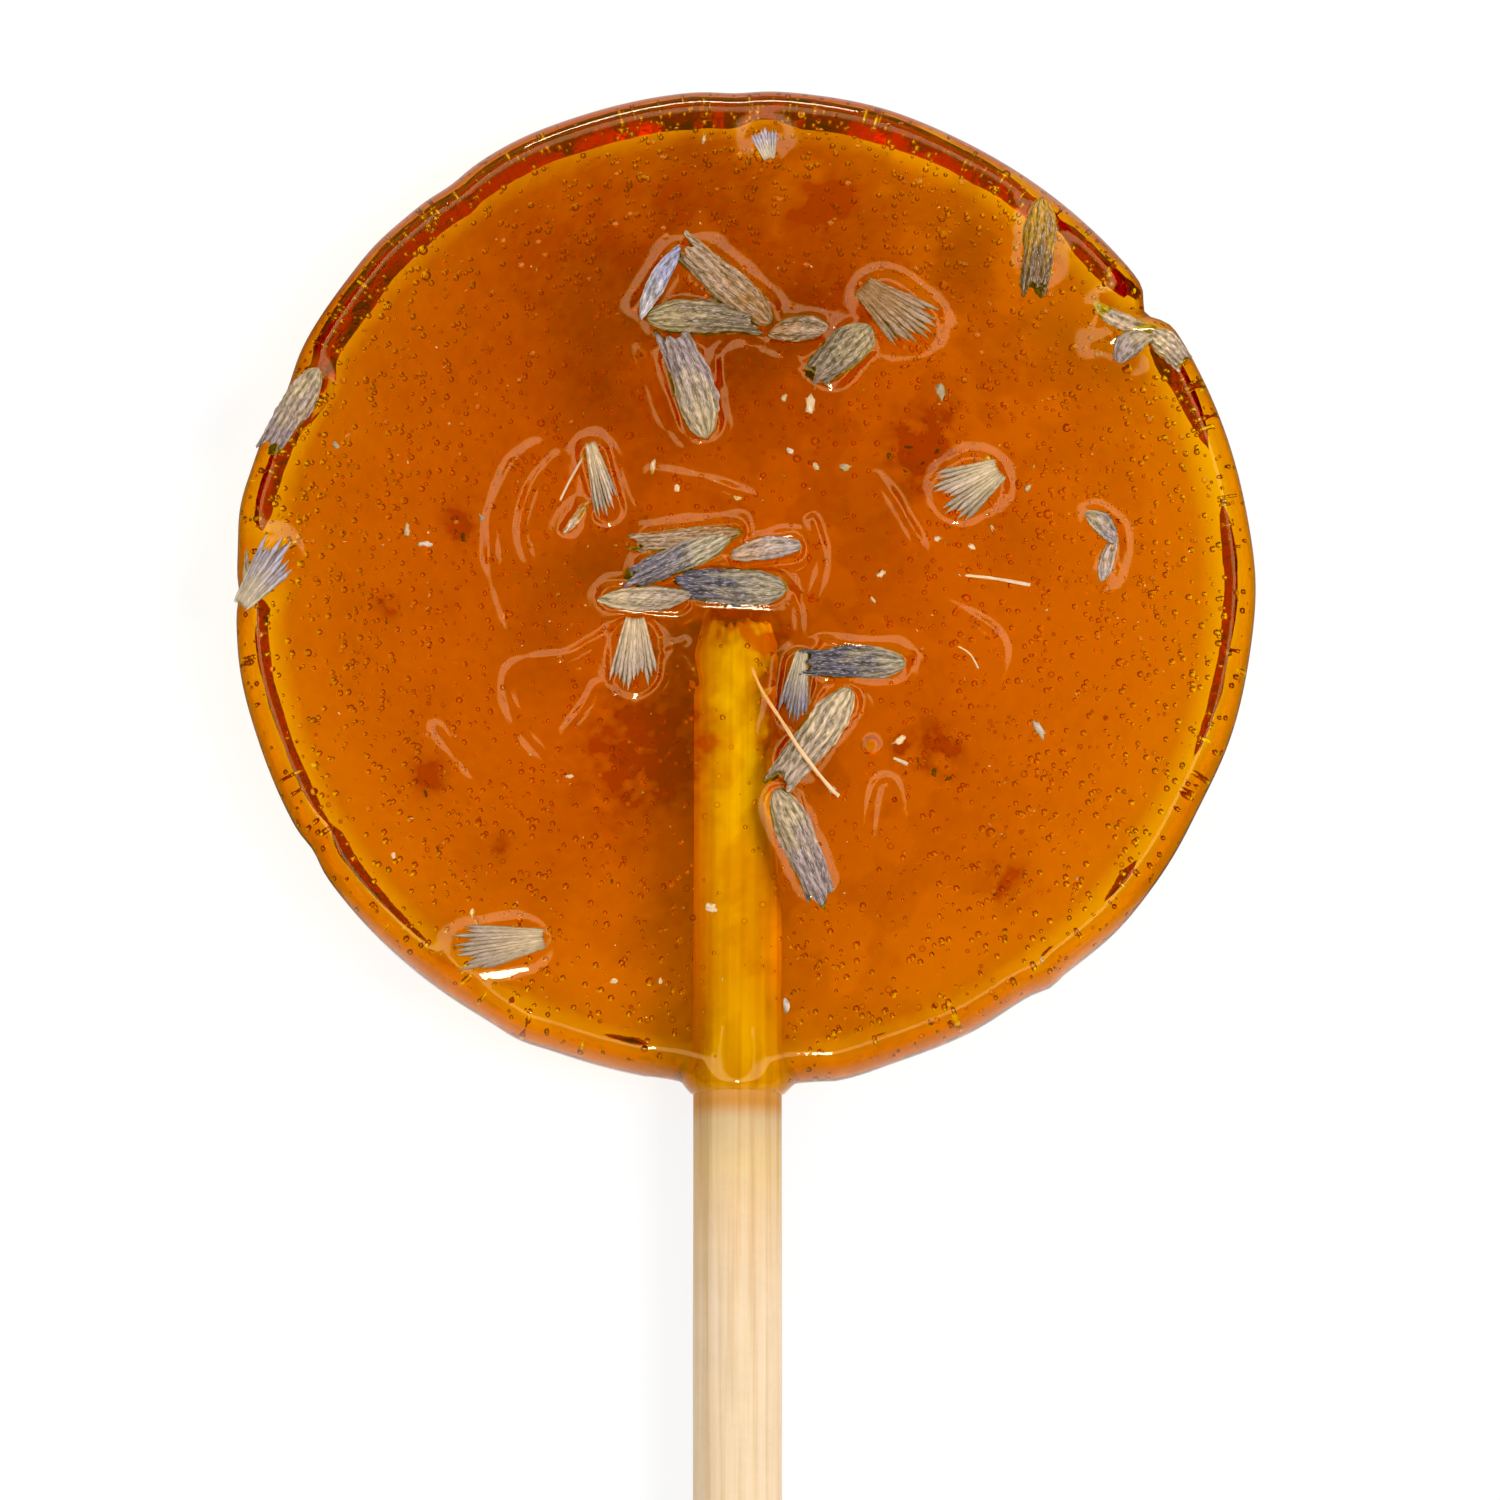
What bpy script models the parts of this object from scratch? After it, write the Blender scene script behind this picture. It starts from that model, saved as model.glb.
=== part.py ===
"""Hand-poured amber sugar lollipop with dried lavender buds, lying flat, on a bamboo stick.

Metres, +Z up. The origin is the middle of the flat underside and the stick runs along -Y.
Two pieces: the sugar disc with the buds set in its top, and the stick sunk in the disc.
"""

import math

import bmesh
import bpy
from mathutils import Matrix, Vector

MM = 0.001

# the poured disc, about two inches across
DISC_RADIUS = 25.28 * MM       # mean radius of the outline
CENTRE_HEIGHT = 6.65 * MM      # thickness in the middle
RIM_HEIGHT = 5.0 * MM          # height that the dome would reach at the outline
WIDEST_HEIGHT = 2.9 * MM       # height of the rim's outermost line
SHOULDER_WIDTH = 1.4 * MM      # the rim rounds over this far in from the outline
CONTACT_INSET = 2.0 * MM       # the flat underside ends this far in from the outline
UNDERCUT_SLOPE = math.radians(56.0)    # slope of the rim where it leaves the underside
DISC_SIDES = 144
UNDERCUT_STEPS = 4
SHOULDER_STEPS = 5
DOME_STEPS = 8

# the outline departs a little from a circle: slow waves, then local dents and bulges
OVAL_WAVE = 0.10 * MM
THREE_LOBE_WAVE = 0.10 * MM
THREE_LOBE_TURN = math.radians(55.0)
RIM_WAVES = (                  # angle and half width in degrees, height in millimetres
    (0, 6, 0.13),
    (34.5, 1.9, -0.75),        # the notch where a petal parts the rim
    (74, 7, 0.10),
    (91, 3, -0.16),
    (117, 6, 0.10),
    (126, 2.5, -0.14),
    (137, 4, 0.09),
    (157, 4, -0.32),
    (171, 4, 0.20),
    (181, 1.6, -0.14),
    (190, 6, 0.12),
    (212, 2, -0.18),
    (244, 3, 0.17),
    (281, 5, 0.22),
    (303, 4, -0.15),
    (307, 1.5, 0.16),
    (317, 5, 0.11),
    (334, 6, -0.16),
)
CREASE_ANGLE = 35.0            # the notch runs on inwards as a crease in the top
CREASE_HALF_WIDTH = 3.0
CREASE_DEPTH = 1.1 * MM
CREASE_START = 20.5 * MM

# the bamboo stick, level, with a film of sugar under it
STICK_RADIUS = 2.18 * MM
STICK_LENGTH = 114.3 * MM
STICK_X = -0.3 * MM
STICK_INNER_END = -1.6 * MM    # its end lies just short of the disc's middle
STICK_HEIGHT = 2.85 * MM
STICK_CHAMFER = 0.25 * MM
STICK_SIDES = 40
STICK_GAP = 0.3 * MM           # clearance between wood and sugar
SLEEVE_RADIUS = 2.8 * MM       # the sugar drapes over the stick as a low ridge
SLEEVE_START = -13.0 * MM
SLEEVE_END = -25.9 * MM        # and climbs a little way along it past the rim
SLEEVE_SIDES = 32

# lavender: each bud's middle, the heading from its stem end to its mouth, length, width, kind
BUDS = (                       # millimetres and degrees
    (1.1, 21.9, 101, 1.7, 1.4, "fan"),
    (-4.15, 14.65, 58, 4.0, 1.0, "strip"),
    (-0.6, 14.35, 138, 5.5, 1.8, "calyx"),
    (-2.3, 12.8, -2, 5.2, 1.75, "calyx"),
    (-2.6, 9.15, 107, 5.2, 2.0, "calyx"),
    (2.7, 12.1, -1, 2.8, 1.4, "strip"),
    (5.05, 11.25, -138, 3.6, 1.95, "calyx"),
    (7.65, 13.0, -40, 4.6, 3.1, "fan"),
    (14.7, 17.0, -96, 4.6, 1.6, "calyx"),
    (19.0, 13.1, 166, 3.4, 1.1, "strip"),
    (19.5, 11.4, -136, 2.4, 1.3, "strip"),
    (21.1, 11.7, -43, 2.1, 1.4, "calyx"),
    (-22.3, 8.7, -127, 4.3, 1.75, "calyx"),
    (-23.7, 0.15, 50, 4.2, 2.4, "fan"),
    (-7.1, 4.5, -75, 4.2, 1.4, "fan"),
    (-2.5, 1.7, -174, 5.0, 1.1, "calyx"),
    (-2.9, 0.8, -156, 5.1, 1.5, "calyx"),
    (1.1, 0.95, 8, 3.6, 1.15, "calyx"),
    (-0.25, -0.8, 177, 4.9, 1.8, "calyx"),
    (-4.9, -1.4, -2, 4.4, 1.3, "calyx"),
    (-5.4, -4.25, -91, 3.8, 2.5, "fan"),
    (5.7, -4.6, 180, 4.7, 1.65, "calyx"),
    (2.6, -5.9, -99, 3.8, 1.2, "strip"),
    (3.7, -8.0, -127, 5.4, 1.9, "calyx"),
    (11.1, 4.2, -149, 3.7, 3.0, "fan"),
    (17.9, 1.6, -70, 3.4, 0.9, "strip"),
    (-12.2, -18.55, -172, 4.9, 2.5, "fan"),
    (2.65, -13.35, -67, 5.5, 1.75, "calyx"),
)
BUD_KINDS = {                  # thickness and lift as shares of the width, widths along the bud
    "calyx": {"thickness": 0.78, "lift": 0.10, "stem": 0.80, "mouth": 1.30, "tooth": 0.07},
    "fan": {"thickness": 0.42, "lift": 0.08, "stem": 0.45, "mouth": 2.10, "tooth": 0.10},
    "strip": {"thickness": 0.50, "lift": 0.10, "stem": 0.90, "mouth": 1.20, "tooth": 0.04},
}
BUD_SIDES = 8
BUD_RINGS = 7

AMBER = (0.72, 0.24, 0.01, 1.0)
BAMBOO = (0.82, 0.62, 0.38, 1.0)


def clear_scene():
    """Start from an empty scene."""
    for old in list(bpy.data.objects):
        bpy.data.objects.remove(old, do_unlink=True)


def smooth_step(value, start, end):
    """0 before start, 1 after end, and smooth in between."""
    share = min(1.0, max(0.0, (value - start) / (end - start)))
    return share * share * (3.0 - 2.0 * share)


def angle_apart(angle, other):
    """Difference between two angles in degrees, between -180 and 180."""
    return (angle - other + 180.0) % 360.0 - 180.0


def outline_shift(angle):
    """How far the outline lies outside the mean circle, at an angle in radians."""
    shift = OVAL_WAVE * math.cos(2.0 * angle)
    shift += THREE_LOBE_WAVE * math.cos(3.0 * angle + THREE_LOBE_TURN)
    degrees = math.degrees(angle)
    for middle, half_width, height in RIM_WAVES:
        apart = angle_apart(degrees, middle) / half_width
        shift += height * MM * math.exp(-apart * apart)
    return shift


def dome_height(radius):
    """Height of the domed top at a distance from the middle."""
    share = min(1.0, radius / DISC_RADIUS)
    return RIM_HEIGHT + (CENTRE_HEIGHT - RIM_HEIGHT) * (1.0 - share * share)


def top_height(x, y):
    """Height of the finished top under a point, with the rim's shoulder and the crease."""
    angle = math.atan2(y, x)
    radius = min(math.hypot(x, y) - outline_shift(angle), DISC_RADIUS)
    height = dome_height(radius)
    rounding = 1.0 - (DISC_RADIUS - radius) / SHOULDER_WIDTH
    if rounding > 0.0:
        height = WIDEST_HEIGHT + (height - WIDEST_HEIGHT) * math.sin(math.acos(rounding))
    return height - crease_depth(radius, angle)


def crease_depth(radius, angle):
    """How far the crease is pressed in at a distance from the middle and an angle."""
    apart = angle_apart(math.degrees(angle), CREASE_ANGLE) / CREASE_HALF_WIDTH
    return CREASE_DEPTH * smooth_step(radius, CREASE_START, DISC_RADIUS) * math.exp(-apart * apart)


def disc_section():
    """Half section of the disc, from the underside's middle round the rim to the top's middle."""
    contact = DISC_RADIUS - CONTACT_INSET
    points = [(0.0, 0.0), (contact * 0.5, 0.0), (contact, 0.0)]
    knee = CONTACT_INSET * math.tan(UNDERCUT_SLOPE)
    knee = min(knee, 0.98 * WIDEST_HEIGHT)
    for step in range(1, UNDERCUT_STEPS + 1):
        t = step / UNDERCUT_STEPS
        radius = contact * (1.0 - t) ** 2 + DISC_RADIUS * (2.0 * t * (1.0 - t) + t * t)
        points.append((radius, 2.0 * knee * t * (1.0 - t) + WIDEST_HEIGHT * t * t))
    for step in range(1, SHOULDER_STEPS + 1):
        turn = 0.5 * math.pi * step / SHOULDER_STEPS
        radius = DISC_RADIUS - SHOULDER_WIDTH * (1.0 - math.cos(turn))
        height = WIDEST_HEIGHT + (dome_height(radius) - WIDEST_HEIGHT) * math.sin(turn)
        points.append((radius, height))
    shoulder_end = DISC_RADIUS - SHOULDER_WIDTH
    for step in range(1, DOME_STEPS + 1):
        radius = shoulder_end * (1.0 - step / DOME_STEPS)
        points.append((radius, dome_height(radius)))
    return points


def shape_outline(mesh):
    """Move the turned disc's vertices to the uneven outline, and press in the crease."""
    for vert in mesh.verts:
        radius = math.hypot(vert.co.x, vert.co.y)
        if radius < 0.1 * MM:
            continue
        angle = math.atan2(vert.co.y, vert.co.x)
        near_rim = smooth_step(radius, 0.4 * DISC_RADIUS, 0.92 * DISC_RADIUS)
        moved = radius + outline_shift(angle) * near_rim
        if vert.co.z > WIDEST_HEIGHT:
            above = (vert.co.z - WIDEST_HEIGHT) / (RIM_HEIGHT - WIDEST_HEIGHT)
            vert.co.z -= crease_depth(radius, angle) * min(1.0, above)
        vert.co.x *= moved / radius
        vert.co.y *= moved / radius


def new_object(name, mesh):
    """Put a bmesh in a new object."""
    data = bpy.data.meshes.new(name)
    mesh.to_mesh(data)
    mesh.free()
    obj = bpy.data.objects.new(name, data)
    bpy.context.scene.collection.objects.link(obj)
    return obj


def smooth_shading(obj, limit=math.radians(40.0)):
    """Shade an object smooth, keeping its sharp edges."""
    obj.data.shade_smooth()
    obj.data.set_sharp_from_angle(angle=limit)


def make_disc():
    """The sugar disc: its half section spun about +Z."""
    mesh = bmesh.new()
    verts = [mesh.verts.new((radius, 0.0, height)) for radius, height in disc_section()]
    edges = [mesh.edges.new(pair) for pair in zip(verts[:-1], verts[1:])]
    bmesh.ops.spin(
        mesh, geom=verts + edges, cent=(0, 0, 0), axis=(0, 0, 1),
        angle=2.0 * math.pi, steps=DISC_SIDES, use_merge=True, use_duplicate=False)
    bmesh.ops.remove_doubles(mesh, verts=mesh.verts, dist=0.001 * MM)
    shape_outline(mesh)
    bmesh.ops.recalc_face_normals(mesh, faces=mesh.faces)
    return new_object("candy", mesh)


def make_bud(index, bud):
    """One dried bud: a long ribbed sphere, narrow at the stem and toothed at the mouth."""
    x, y, heading, length, width, kind = bud
    form = BUD_KINDS[kind]
    mesh = bmesh.new()
    bmesh.ops.create_uvsphere(mesh, u_segments=BUD_SIDES, v_segments=BUD_RINGS, radius=1.0)
    bmesh.ops.rotate(mesh, verts=mesh.verts, cent=(0, 0, 0),
                     matrix=Matrix.Rotation(math.radians(90.0), 3, "Y"))
    for vert in mesh.verts:
        along = vert.co.x
        spread = form["stem"] + (form["mouth"] - form["stem"]) * 0.5 * (along + 1.0)
        side = vert.co.y * spread
        rise = vert.co.z * (0.6 + 0.4 * spread)
        if 0.6 < along < 0.99:
            tooth = math.cos(0.5 * BUD_SIDES * math.atan2(vert.co.z, vert.co.y))
            along += 2.0 * form["tooth"] * tooth
        vert.co = (along * 0.5 * length * MM,
                   side * 0.5 * width * MM,
                   rise * 0.5 * width * form["thickness"] * MM)
    outward = math.atan2(y, x)
    reach = 0.25 * length * MM
    out = Vector((x * MM + reach * math.cos(outward), y * MM + reach * math.sin(outward)))
    inn = Vector((x * MM - reach * math.cos(outward), y * MM - reach * math.sin(outward)))
    slope = math.atan2(top_height(*out) - top_height(*inn), 2.0 * reach)
    tilt = Matrix.Rotation(slope, 4, Vector((math.sin(outward), -math.cos(outward), 0.0)))
    turn = Matrix.Rotation(math.radians(heading), 4, "Z")
    height = top_height(x * MM, y * MM) + form["lift"] * width * MM
    place = Matrix.Translation((x * MM, y * MM, height))
    bmesh.ops.transform(mesh, matrix=place @ tilt @ turn, verts=mesh.verts)
    return new_object(f"bud_{index:02d}", mesh)


def make_round_bar(name, radius, start, end, sides):
    """A round bar about the stick's axis, from one Y to a lower one."""
    mesh = bmesh.new()
    bmesh.ops.create_cone(
        mesh, cap_ends=True, segments=sides, radius1=radius, radius2=radius,
        depth=start - end)
    bmesh.ops.rotate(mesh, verts=mesh.verts, cent=(0, 0, 0),
                     matrix=Matrix.Rotation(math.radians(90.0), 3, "X"))
    bmesh.ops.translate(mesh, verts=mesh.verts,
                        vec=(STICK_X, 0.5 * (start + end), STICK_HEIGHT))
    return new_object(name, mesh)


def make_stick():
    """The bamboo stick, with both ends chamfered."""
    end = STICK_INNER_END - STICK_LENGTH
    obj = make_round_bar("stick", STICK_RADIUS, STICK_INNER_END, end, STICK_SIDES)
    mesh = bmesh.new()
    mesh.from_mesh(obj.data)
    rims = [edge for edge in mesh.edges
            if any(len(face.verts) > 4 for face in edge.link_faces)]
    bmesh.ops.bevel(mesh, geom=rims, offset=STICK_CHAMFER, segments=1, profile=0.5,
                    affect="EDGES", material=-1)
    mesh.to_mesh(obj.data)
    mesh.free()
    return obj


def apply_boolean(obj, operation, tool, tool_type):
    """Apply one Boolean modifier, then remove its tool objects."""
    cut = obj.modifiers.new("cut", "BOOLEAN")
    cut.operation = operation
    cut.operand_type = tool_type
    cut.solver = "EXACT"
    if tool_type == "COLLECTION":
        cut.collection = tool
        spent = list(tool.objects)
    else:
        cut.object = tool
        spent = [tool]
    bpy.context.view_layer.update()
    bpy.context.view_layer.objects.active = obj
    bpy.ops.object.modifier_apply(modifier=cut.name)
    for old in spent:
        bpy.data.objects.remove(old, do_unlink=True)


def fuse_toppings(disc):
    """Fuse the buds and the ridge over the stick to the disc, in one union."""
    toppings = bpy.data.collections.new("toppings")
    bpy.context.scene.collection.children.link(toppings)
    pieces = [make_bud(index, bud) for index, bud in enumerate(BUDS)]
    pieces.append(make_round_bar(
        "sleeve", SLEEVE_RADIUS, SLEEVE_START, SLEEVE_END, SLEEVE_SIDES))
    for piece in pieces:
        bpy.context.scene.collection.objects.unlink(piece)
        toppings.objects.link(piece)
    apply_boolean(disc, "UNION", toppings, "COLLECTION")
    bpy.data.collections.remove(toppings)


def bore_disc(disc):
    """Cut the blind hole that the stick sits in."""
    radius = STICK_RADIUS + STICK_GAP
    bore = make_round_bar("bore", radius, STICK_INNER_END + STICK_GAP,
                          SLEEVE_END - 4.0 * MM, STICK_SIDES)
    bore.hide_render = True
    bore.display_type = "WIRE"
    apply_boolean(disc, "DIFFERENCE", bore, "OBJECT")


def give_material(obj, name, colour, roughness, transmission=0.0):
    """Give an object its own Principled material."""
    material = bpy.data.materials.new(name)
    material.use_nodes = True
    shader = material.node_tree.nodes["Principled BSDF"]
    shader.inputs["Base Color"].default_value = colour
    shader.inputs["Roughness"].default_value = roughness
    shader.inputs["Metallic"].default_value = 0.0
    shader.inputs["Transmission Weight"].default_value = transmission
    obj.data.materials.clear()
    obj.data.materials.append(material)


def build():
    """Make both pieces."""
    clear_scene()
    disc = make_disc()
    fuse_toppings(disc)
    bore_disc(disc)
    smooth_shading(disc)
    give_material(disc, "amber_sugar", AMBER, 0.06, 0.8)
    stick = make_stick()
    smooth_shading(stick)
    give_material(stick, "bamboo", BAMBOO, 0.6)


build()
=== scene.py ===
import math
import random

import bmesh
import bpy
from mathutils import Matrix, Vector, noise


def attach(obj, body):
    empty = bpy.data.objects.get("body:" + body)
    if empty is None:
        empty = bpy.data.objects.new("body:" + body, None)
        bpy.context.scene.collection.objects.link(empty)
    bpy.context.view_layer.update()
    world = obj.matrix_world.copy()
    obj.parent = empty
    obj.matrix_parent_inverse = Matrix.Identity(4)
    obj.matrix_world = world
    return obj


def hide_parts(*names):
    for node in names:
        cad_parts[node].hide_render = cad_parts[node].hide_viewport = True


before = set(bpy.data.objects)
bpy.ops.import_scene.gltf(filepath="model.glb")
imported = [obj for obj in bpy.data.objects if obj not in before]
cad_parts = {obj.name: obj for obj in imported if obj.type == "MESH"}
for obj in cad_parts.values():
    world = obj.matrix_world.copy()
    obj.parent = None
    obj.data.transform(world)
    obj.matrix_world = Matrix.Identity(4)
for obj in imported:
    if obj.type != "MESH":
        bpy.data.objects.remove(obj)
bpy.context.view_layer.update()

# A poured amber sugar lollipop with dried lavender set in its top, lying on a white table.
# Shapes are worked out in millimetres, with the middle of the flat underside at the origin
# and the stick along -Y, and are scaled to metres when a piece is finished.

mm = 0.001

# the sugar disc: the same form as the plain solid, with a finer surface
sugar = {
    "radius": 25.28,
    "centreHeight": 6.65,
    "rimHeight": 5.0,           # where the dome would meet the outline
    "widestHeight": 2.55,
    "shoulderWidth": 1.3,
    "contactInset": 1.78,       # the flat underside stops this far in from the outline
    "insetNoise": 0.09,
    "undercutSlope": 48.5,
    "sides": 352,
    "underRings": 4,
    "undercutRings": 11,
    "cornerWidth": 0.03,        # rings this close to the corner keep it crisp
    "shoulderRings": 9,
    "domeRings": 116,
    "ringCrowding": 0.30,       # the dome's rings lie closer together inwards by this share
    "ovalWave": 0.10,
    "threeLobeWave": 0.10,
    "threeLobeTurn": 55.0,
    "swell": 0.05,              # slow unevenness of the top
    "swellSize": 7.0,
    "absorbed": (0.014, 0.146, 2.4),    # red, green and blue lost in each millimetre
    "palest": (1.0, 0.97, 0.42),        # the skin's tint where it is palest
    "darkestTint": (0.42, 0.06, 0.01),      # and in the darkest patches, painted shade among them
}

# the outline's dents and bulges: angle and half width in degrees, height
rimWaves = [
    (0, 6, 0.13), (34.5, 1.9, -0.75), (74, 7, 0.10), (91, 3, -0.16), (117, 6, 0.10),
    (126, 2.5, -0.14), (137, 4, 0.09), (157, 4, -0.32), (171, 4, 0.20), (181, 1.6, -0.14),
    (190, 6, 0.12), (212, 2, -0.18), (244, 3, 0.17), (281, 5, 0.22), (303, 4, -0.15),
    (307, 1.5, 0.16), (317, 5, 0.11), (334, 6, -0.16),
]

# the same for the foot, where the sugar leaves the table: a plus moves it inwards
footWaves = [
    (50, 14, -0.20), (92, 12, 0.12), (145, 14, 0.18), (160, 2.5, -0.60), (180, 3, -0.50),
    (222, 24, 0.22), (249, 2.2, -0.50), (258, 9, 0.40), (269, 3, -0.80), (276, 3, 0.35),
    (281, 2, -0.30), (287, 3, 0.35), (297, 4, -0.50), (311, 4, 0.20), (315.5, 1.2, -0.50),
    (322, 4, 0.20), (332, 4, -0.50), (345, 6, 0.05), (14, 6, -0.55), (34, 3, -0.30),
]
crease = {"angle": 35.0, "halfWidth": 3.0, "depth": 1.1, "start": 20.5}

# x and y of the middle, heading from stem to mouth, length, width, form, colour, bend
budList = [
    (1.1, 21.9, 101, 1.7, 1.4, "fan", "ashViolet", 0.0),
    (-4.15, 14.65, 58, 4.0, 1.0, "petal", "lilac", 0.25),
    (-0.6, 14.35, 138, 5.5, 1.8, "calyx", "brown", 0.0),
    (-2.3, 12.8, -2, 5.2, 1.75, "calyx", "olive", 0.1),
    (-2.6, 9.15, 107, 5.2, 2.0, "calyx", "ash", -0.15),
    (2.7, 12.1, -1, 2.8, 1.4, "petal", "brown", 0.2),
    (5.05, 11.25, -138, 3.6, 1.95, "calyx", "olive", 0.0),
    (7.65, 13.0, -40, 4.6, 3.1, "fan", "brown", 0.0),
    (14.7, 17.0, -96, 4.6, 1.6, "calyx", "gold", 0.1),
    (19.0, 13.1, 166, 3.4, 1.1, "petal", "straw", 0.3),
    (19.5, 11.4, -136, 2.4, 1.3, "petal", "ash", -0.6),
    (21.1, 11.7, -43, 2.1, 1.4, "calyx", "cream", 0.0),
    (-22.3, 8.7, -127, 4.3, 1.75, "calyx", "ash", 0.1),
    (-23.7, 0.15, 50, 4.2, 2.4, "fan", "ashViolet", 0.0),
    (-24.7, 0.2, 85, 2.4, 0.7, "petal", "cream", 0.0),
    (-7.1, 4.5, -75, 4.2, 1.4, "fan", "tan", 0.0),
    (-8.3, 2.7, -124, 1.9, 0.45, "petal", "stalk", 0.2),
    (-2.5, 1.7, -174, 5.0, 1.1, "calyx", "brown", 0.15),
    (-2.9, 0.8, -156, 5.1, 1.5, "calyx", "violet", 0.0),
    (1.1, 0.95, 8, 3.6, 1.15, "petal", "pink", 0.2),
    (-0.25, -0.8, 177, 4.9, 1.8, "calyx", "deepViolet", 0.05),
    (-4.9, -1.4, -2, 4.4, 1.3, "petal", "cream", -0.1),
    (-5.4, -4.25, -91, 3.8, 2.5, "fan", "tan", 0.0),
    (5.7, -4.6, 180, 4.7, 1.65, "calyx", "deepViolet", -0.05),
    (2.6, -5.9, -99, 3.8, 1.5, "fan", "violet", 0.0),
    (3.7, -8.0, -127, 5.4, 1.9, "calyx", "cream", 0.05),
    (11.1, 4.2, -149, 3.7, 3.0, "fan", "cream", 0.0),
    (17.7, 2.3, -38, 2.0, 1.1, "petal", "ash", 0.3),
    (18.1, 0.7, -104, 2.3, 0.8, "petal", "pink", -0.2),
    (-12.2, -18.55, -172, 4.9, 2.5, "fan", "tan", 0.0),
    (2.65, -13.35, -67, 5.5, 1.75, "calyx", "ash", 0.05),
]

# flow wrinkles in the top: points, half width, height
wrinkles = [
    ([(-9.7, 6.7), (-11.5, 5.2), (-12.5, 2.2), (-12.1, -0.9), (-11.1, -3.4)], 0.40, 0.21),
    ([(-8.9, 6.2), (-10.4, 4.4), (-11.0, 2.0), (-10.4, 0.2)], 0.32, 0.17),
    ([(-6.5, -2.9), (-8.6, -4.2), (-11.1, -4.6), (-11.7, -5.9), (-10.6, -8.4), (-8.3, -10.1)],
     0.34, 0.19),
    ([(-7.1, -5.4), (-7.8, -6.7), (-9.1, -8.4)], 0.30, 0.17),
    ([(-4.4, -4.2), (-2.6, -3.4)], 0.28, 0.14),
    ([(-3.7, -3.4), (-2.2, -5.9)], 0.28, 0.13),
    ([(-5.1, 5.1), (-2.2, 4.6), (0.8, 3.6)], 0.32, 0.15),
    ([(6.3, 5.2), (7.3, 3.9), (8.0, 2.6), (9.2, 0.6)], 0.34, 0.18),
    ([(3.2, 3.0), (3.9, 0.6), (3.3, -1.7)], 0.36, 0.18),
    ([(6.1, -13.9), (6.3, -11.7), (6.7, -10.5), (7.4, -10.5), (7.7, -11.7), (7.9, -13.9)],
     0.30, 0.22),
    ([(-0.4, -0.7), (2.3, -0.9), (2.8, -3.4)], 0.28, 0.15),
    ([(-1.9, 6.8), (-1.5, 9.2), (-1.4, 11.0), (-0.3, 11.8), (1.2, 11.4), (3.2, 10.3), (4.5, 9.5),
      (6.2, 11.2), (7.5, 11.0), (8.4, 10.7)], 0.31, 0.20),
    ([(-5.4, 11.8), (-4.7, 9.6), (-4.0, 7.6), (-2.6, 6.2)], 0.27, 0.14),
    ([(3.5, -3.4), (6.2, -4.2), (9.2, -4.4)], 0.28, 0.14),
    ([(-4.6, -3.4), (-7.1, -6.4)], 0.28, 0.14),
    ([(1.3, -5.9), (0.8, -8.4)], 0.26, 0.14),
    ([(9.7, -1.4), (12.7, -3.4), (12.2, -5.9)], 0.34, 0.17),
    ([(-15.5, -7.3), (-13.0, -10.3)], 0.36, 0.17),
]


def smoothStep(value, start, end):
    share = min(1.0, max(0.0, (value - start) / (end - start)))
    return share * share * (3.0 - 2.0 * share)


def angleApart(angle, other):
    return (angle - other + 180.0) % 360.0 - 180.0


def waves(angle, table):
    # dents and bulges that are added up, angle in radians
    total = 0.0
    for middle, halfWidth, height in table:
        apart = angleApart(math.degrees(angle), middle) / halfWidth
        if abs(apart) < 4.0:
            total += height * math.exp(-apart * apart)
    return total


def outlineShift(angle):
    # how far the outline lies outside the mean circle
    shift = sugar["ovalWave"] * math.cos(2.0 * angle)
    shift += sugar["threeLobeWave"] * math.cos(3.0 * angle + math.radians(sugar["threeLobeTurn"]))
    return shift + waves(angle, rimWaves)


def domeHeight(radius):
    share = min(1.0, radius / sugar["radius"])
    return sugar["rimHeight"] + (sugar["centreHeight"] - sugar["rimHeight"]) * (1.0 - share * share)


def creaseDepth(radius, angle):
    apart = angleApart(math.degrees(angle), crease["angle"]) / crease["halfWidth"]
    return crease["depth"] * smoothStep(radius, crease["start"], sugar["radius"]) * math.exp(-apart * apart)


def curvePoints(points, steps=5):
    # a smooth curve through a few points
    padded = [points[0]] + list(points) + [points[-1]]
    made = []
    for a, b, c, d in zip(padded, padded[1:], padded[2:], padded[3:]):
        for step in range(steps):
            t = step / steps
            made.append(tuple(
                0.5 * (2 * q + (r - p) * t + (2 * p - 5 * q + 4 * r - s) * t * t
                       + (3 * q - p - 3 * r + s) * t ** 3)
                for p, q, r, s in zip(a, b, c, d)))
    made.append(tuple(points[-1]))
    return made


def offCurve(x, y, curve):
    # distance to the curve and how far along it the nearest point is, 0 to 1
    best, where = 1e9, 0.0
    for index in range(len(curve) - 1):
        (ax, ay), (bx, by) = curve[index], curve[index + 1]
        dx, dy = bx - ax, by - ay
        t = min(1.0, max(0.0, ((x - ax) * dx + (y - ay) * dy) / (dx * dx + dy * dy + 1e-9)))
        gap = math.hypot(x - ax - t * dx, y - ay - t * dy)
        if gap < best:
            best, where = gap, (index + t) / (len(curve) - 1)
    return best, where


wrinkleCurves = [(curvePoints(points), width, height) for points, width, height in wrinkles]


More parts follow.
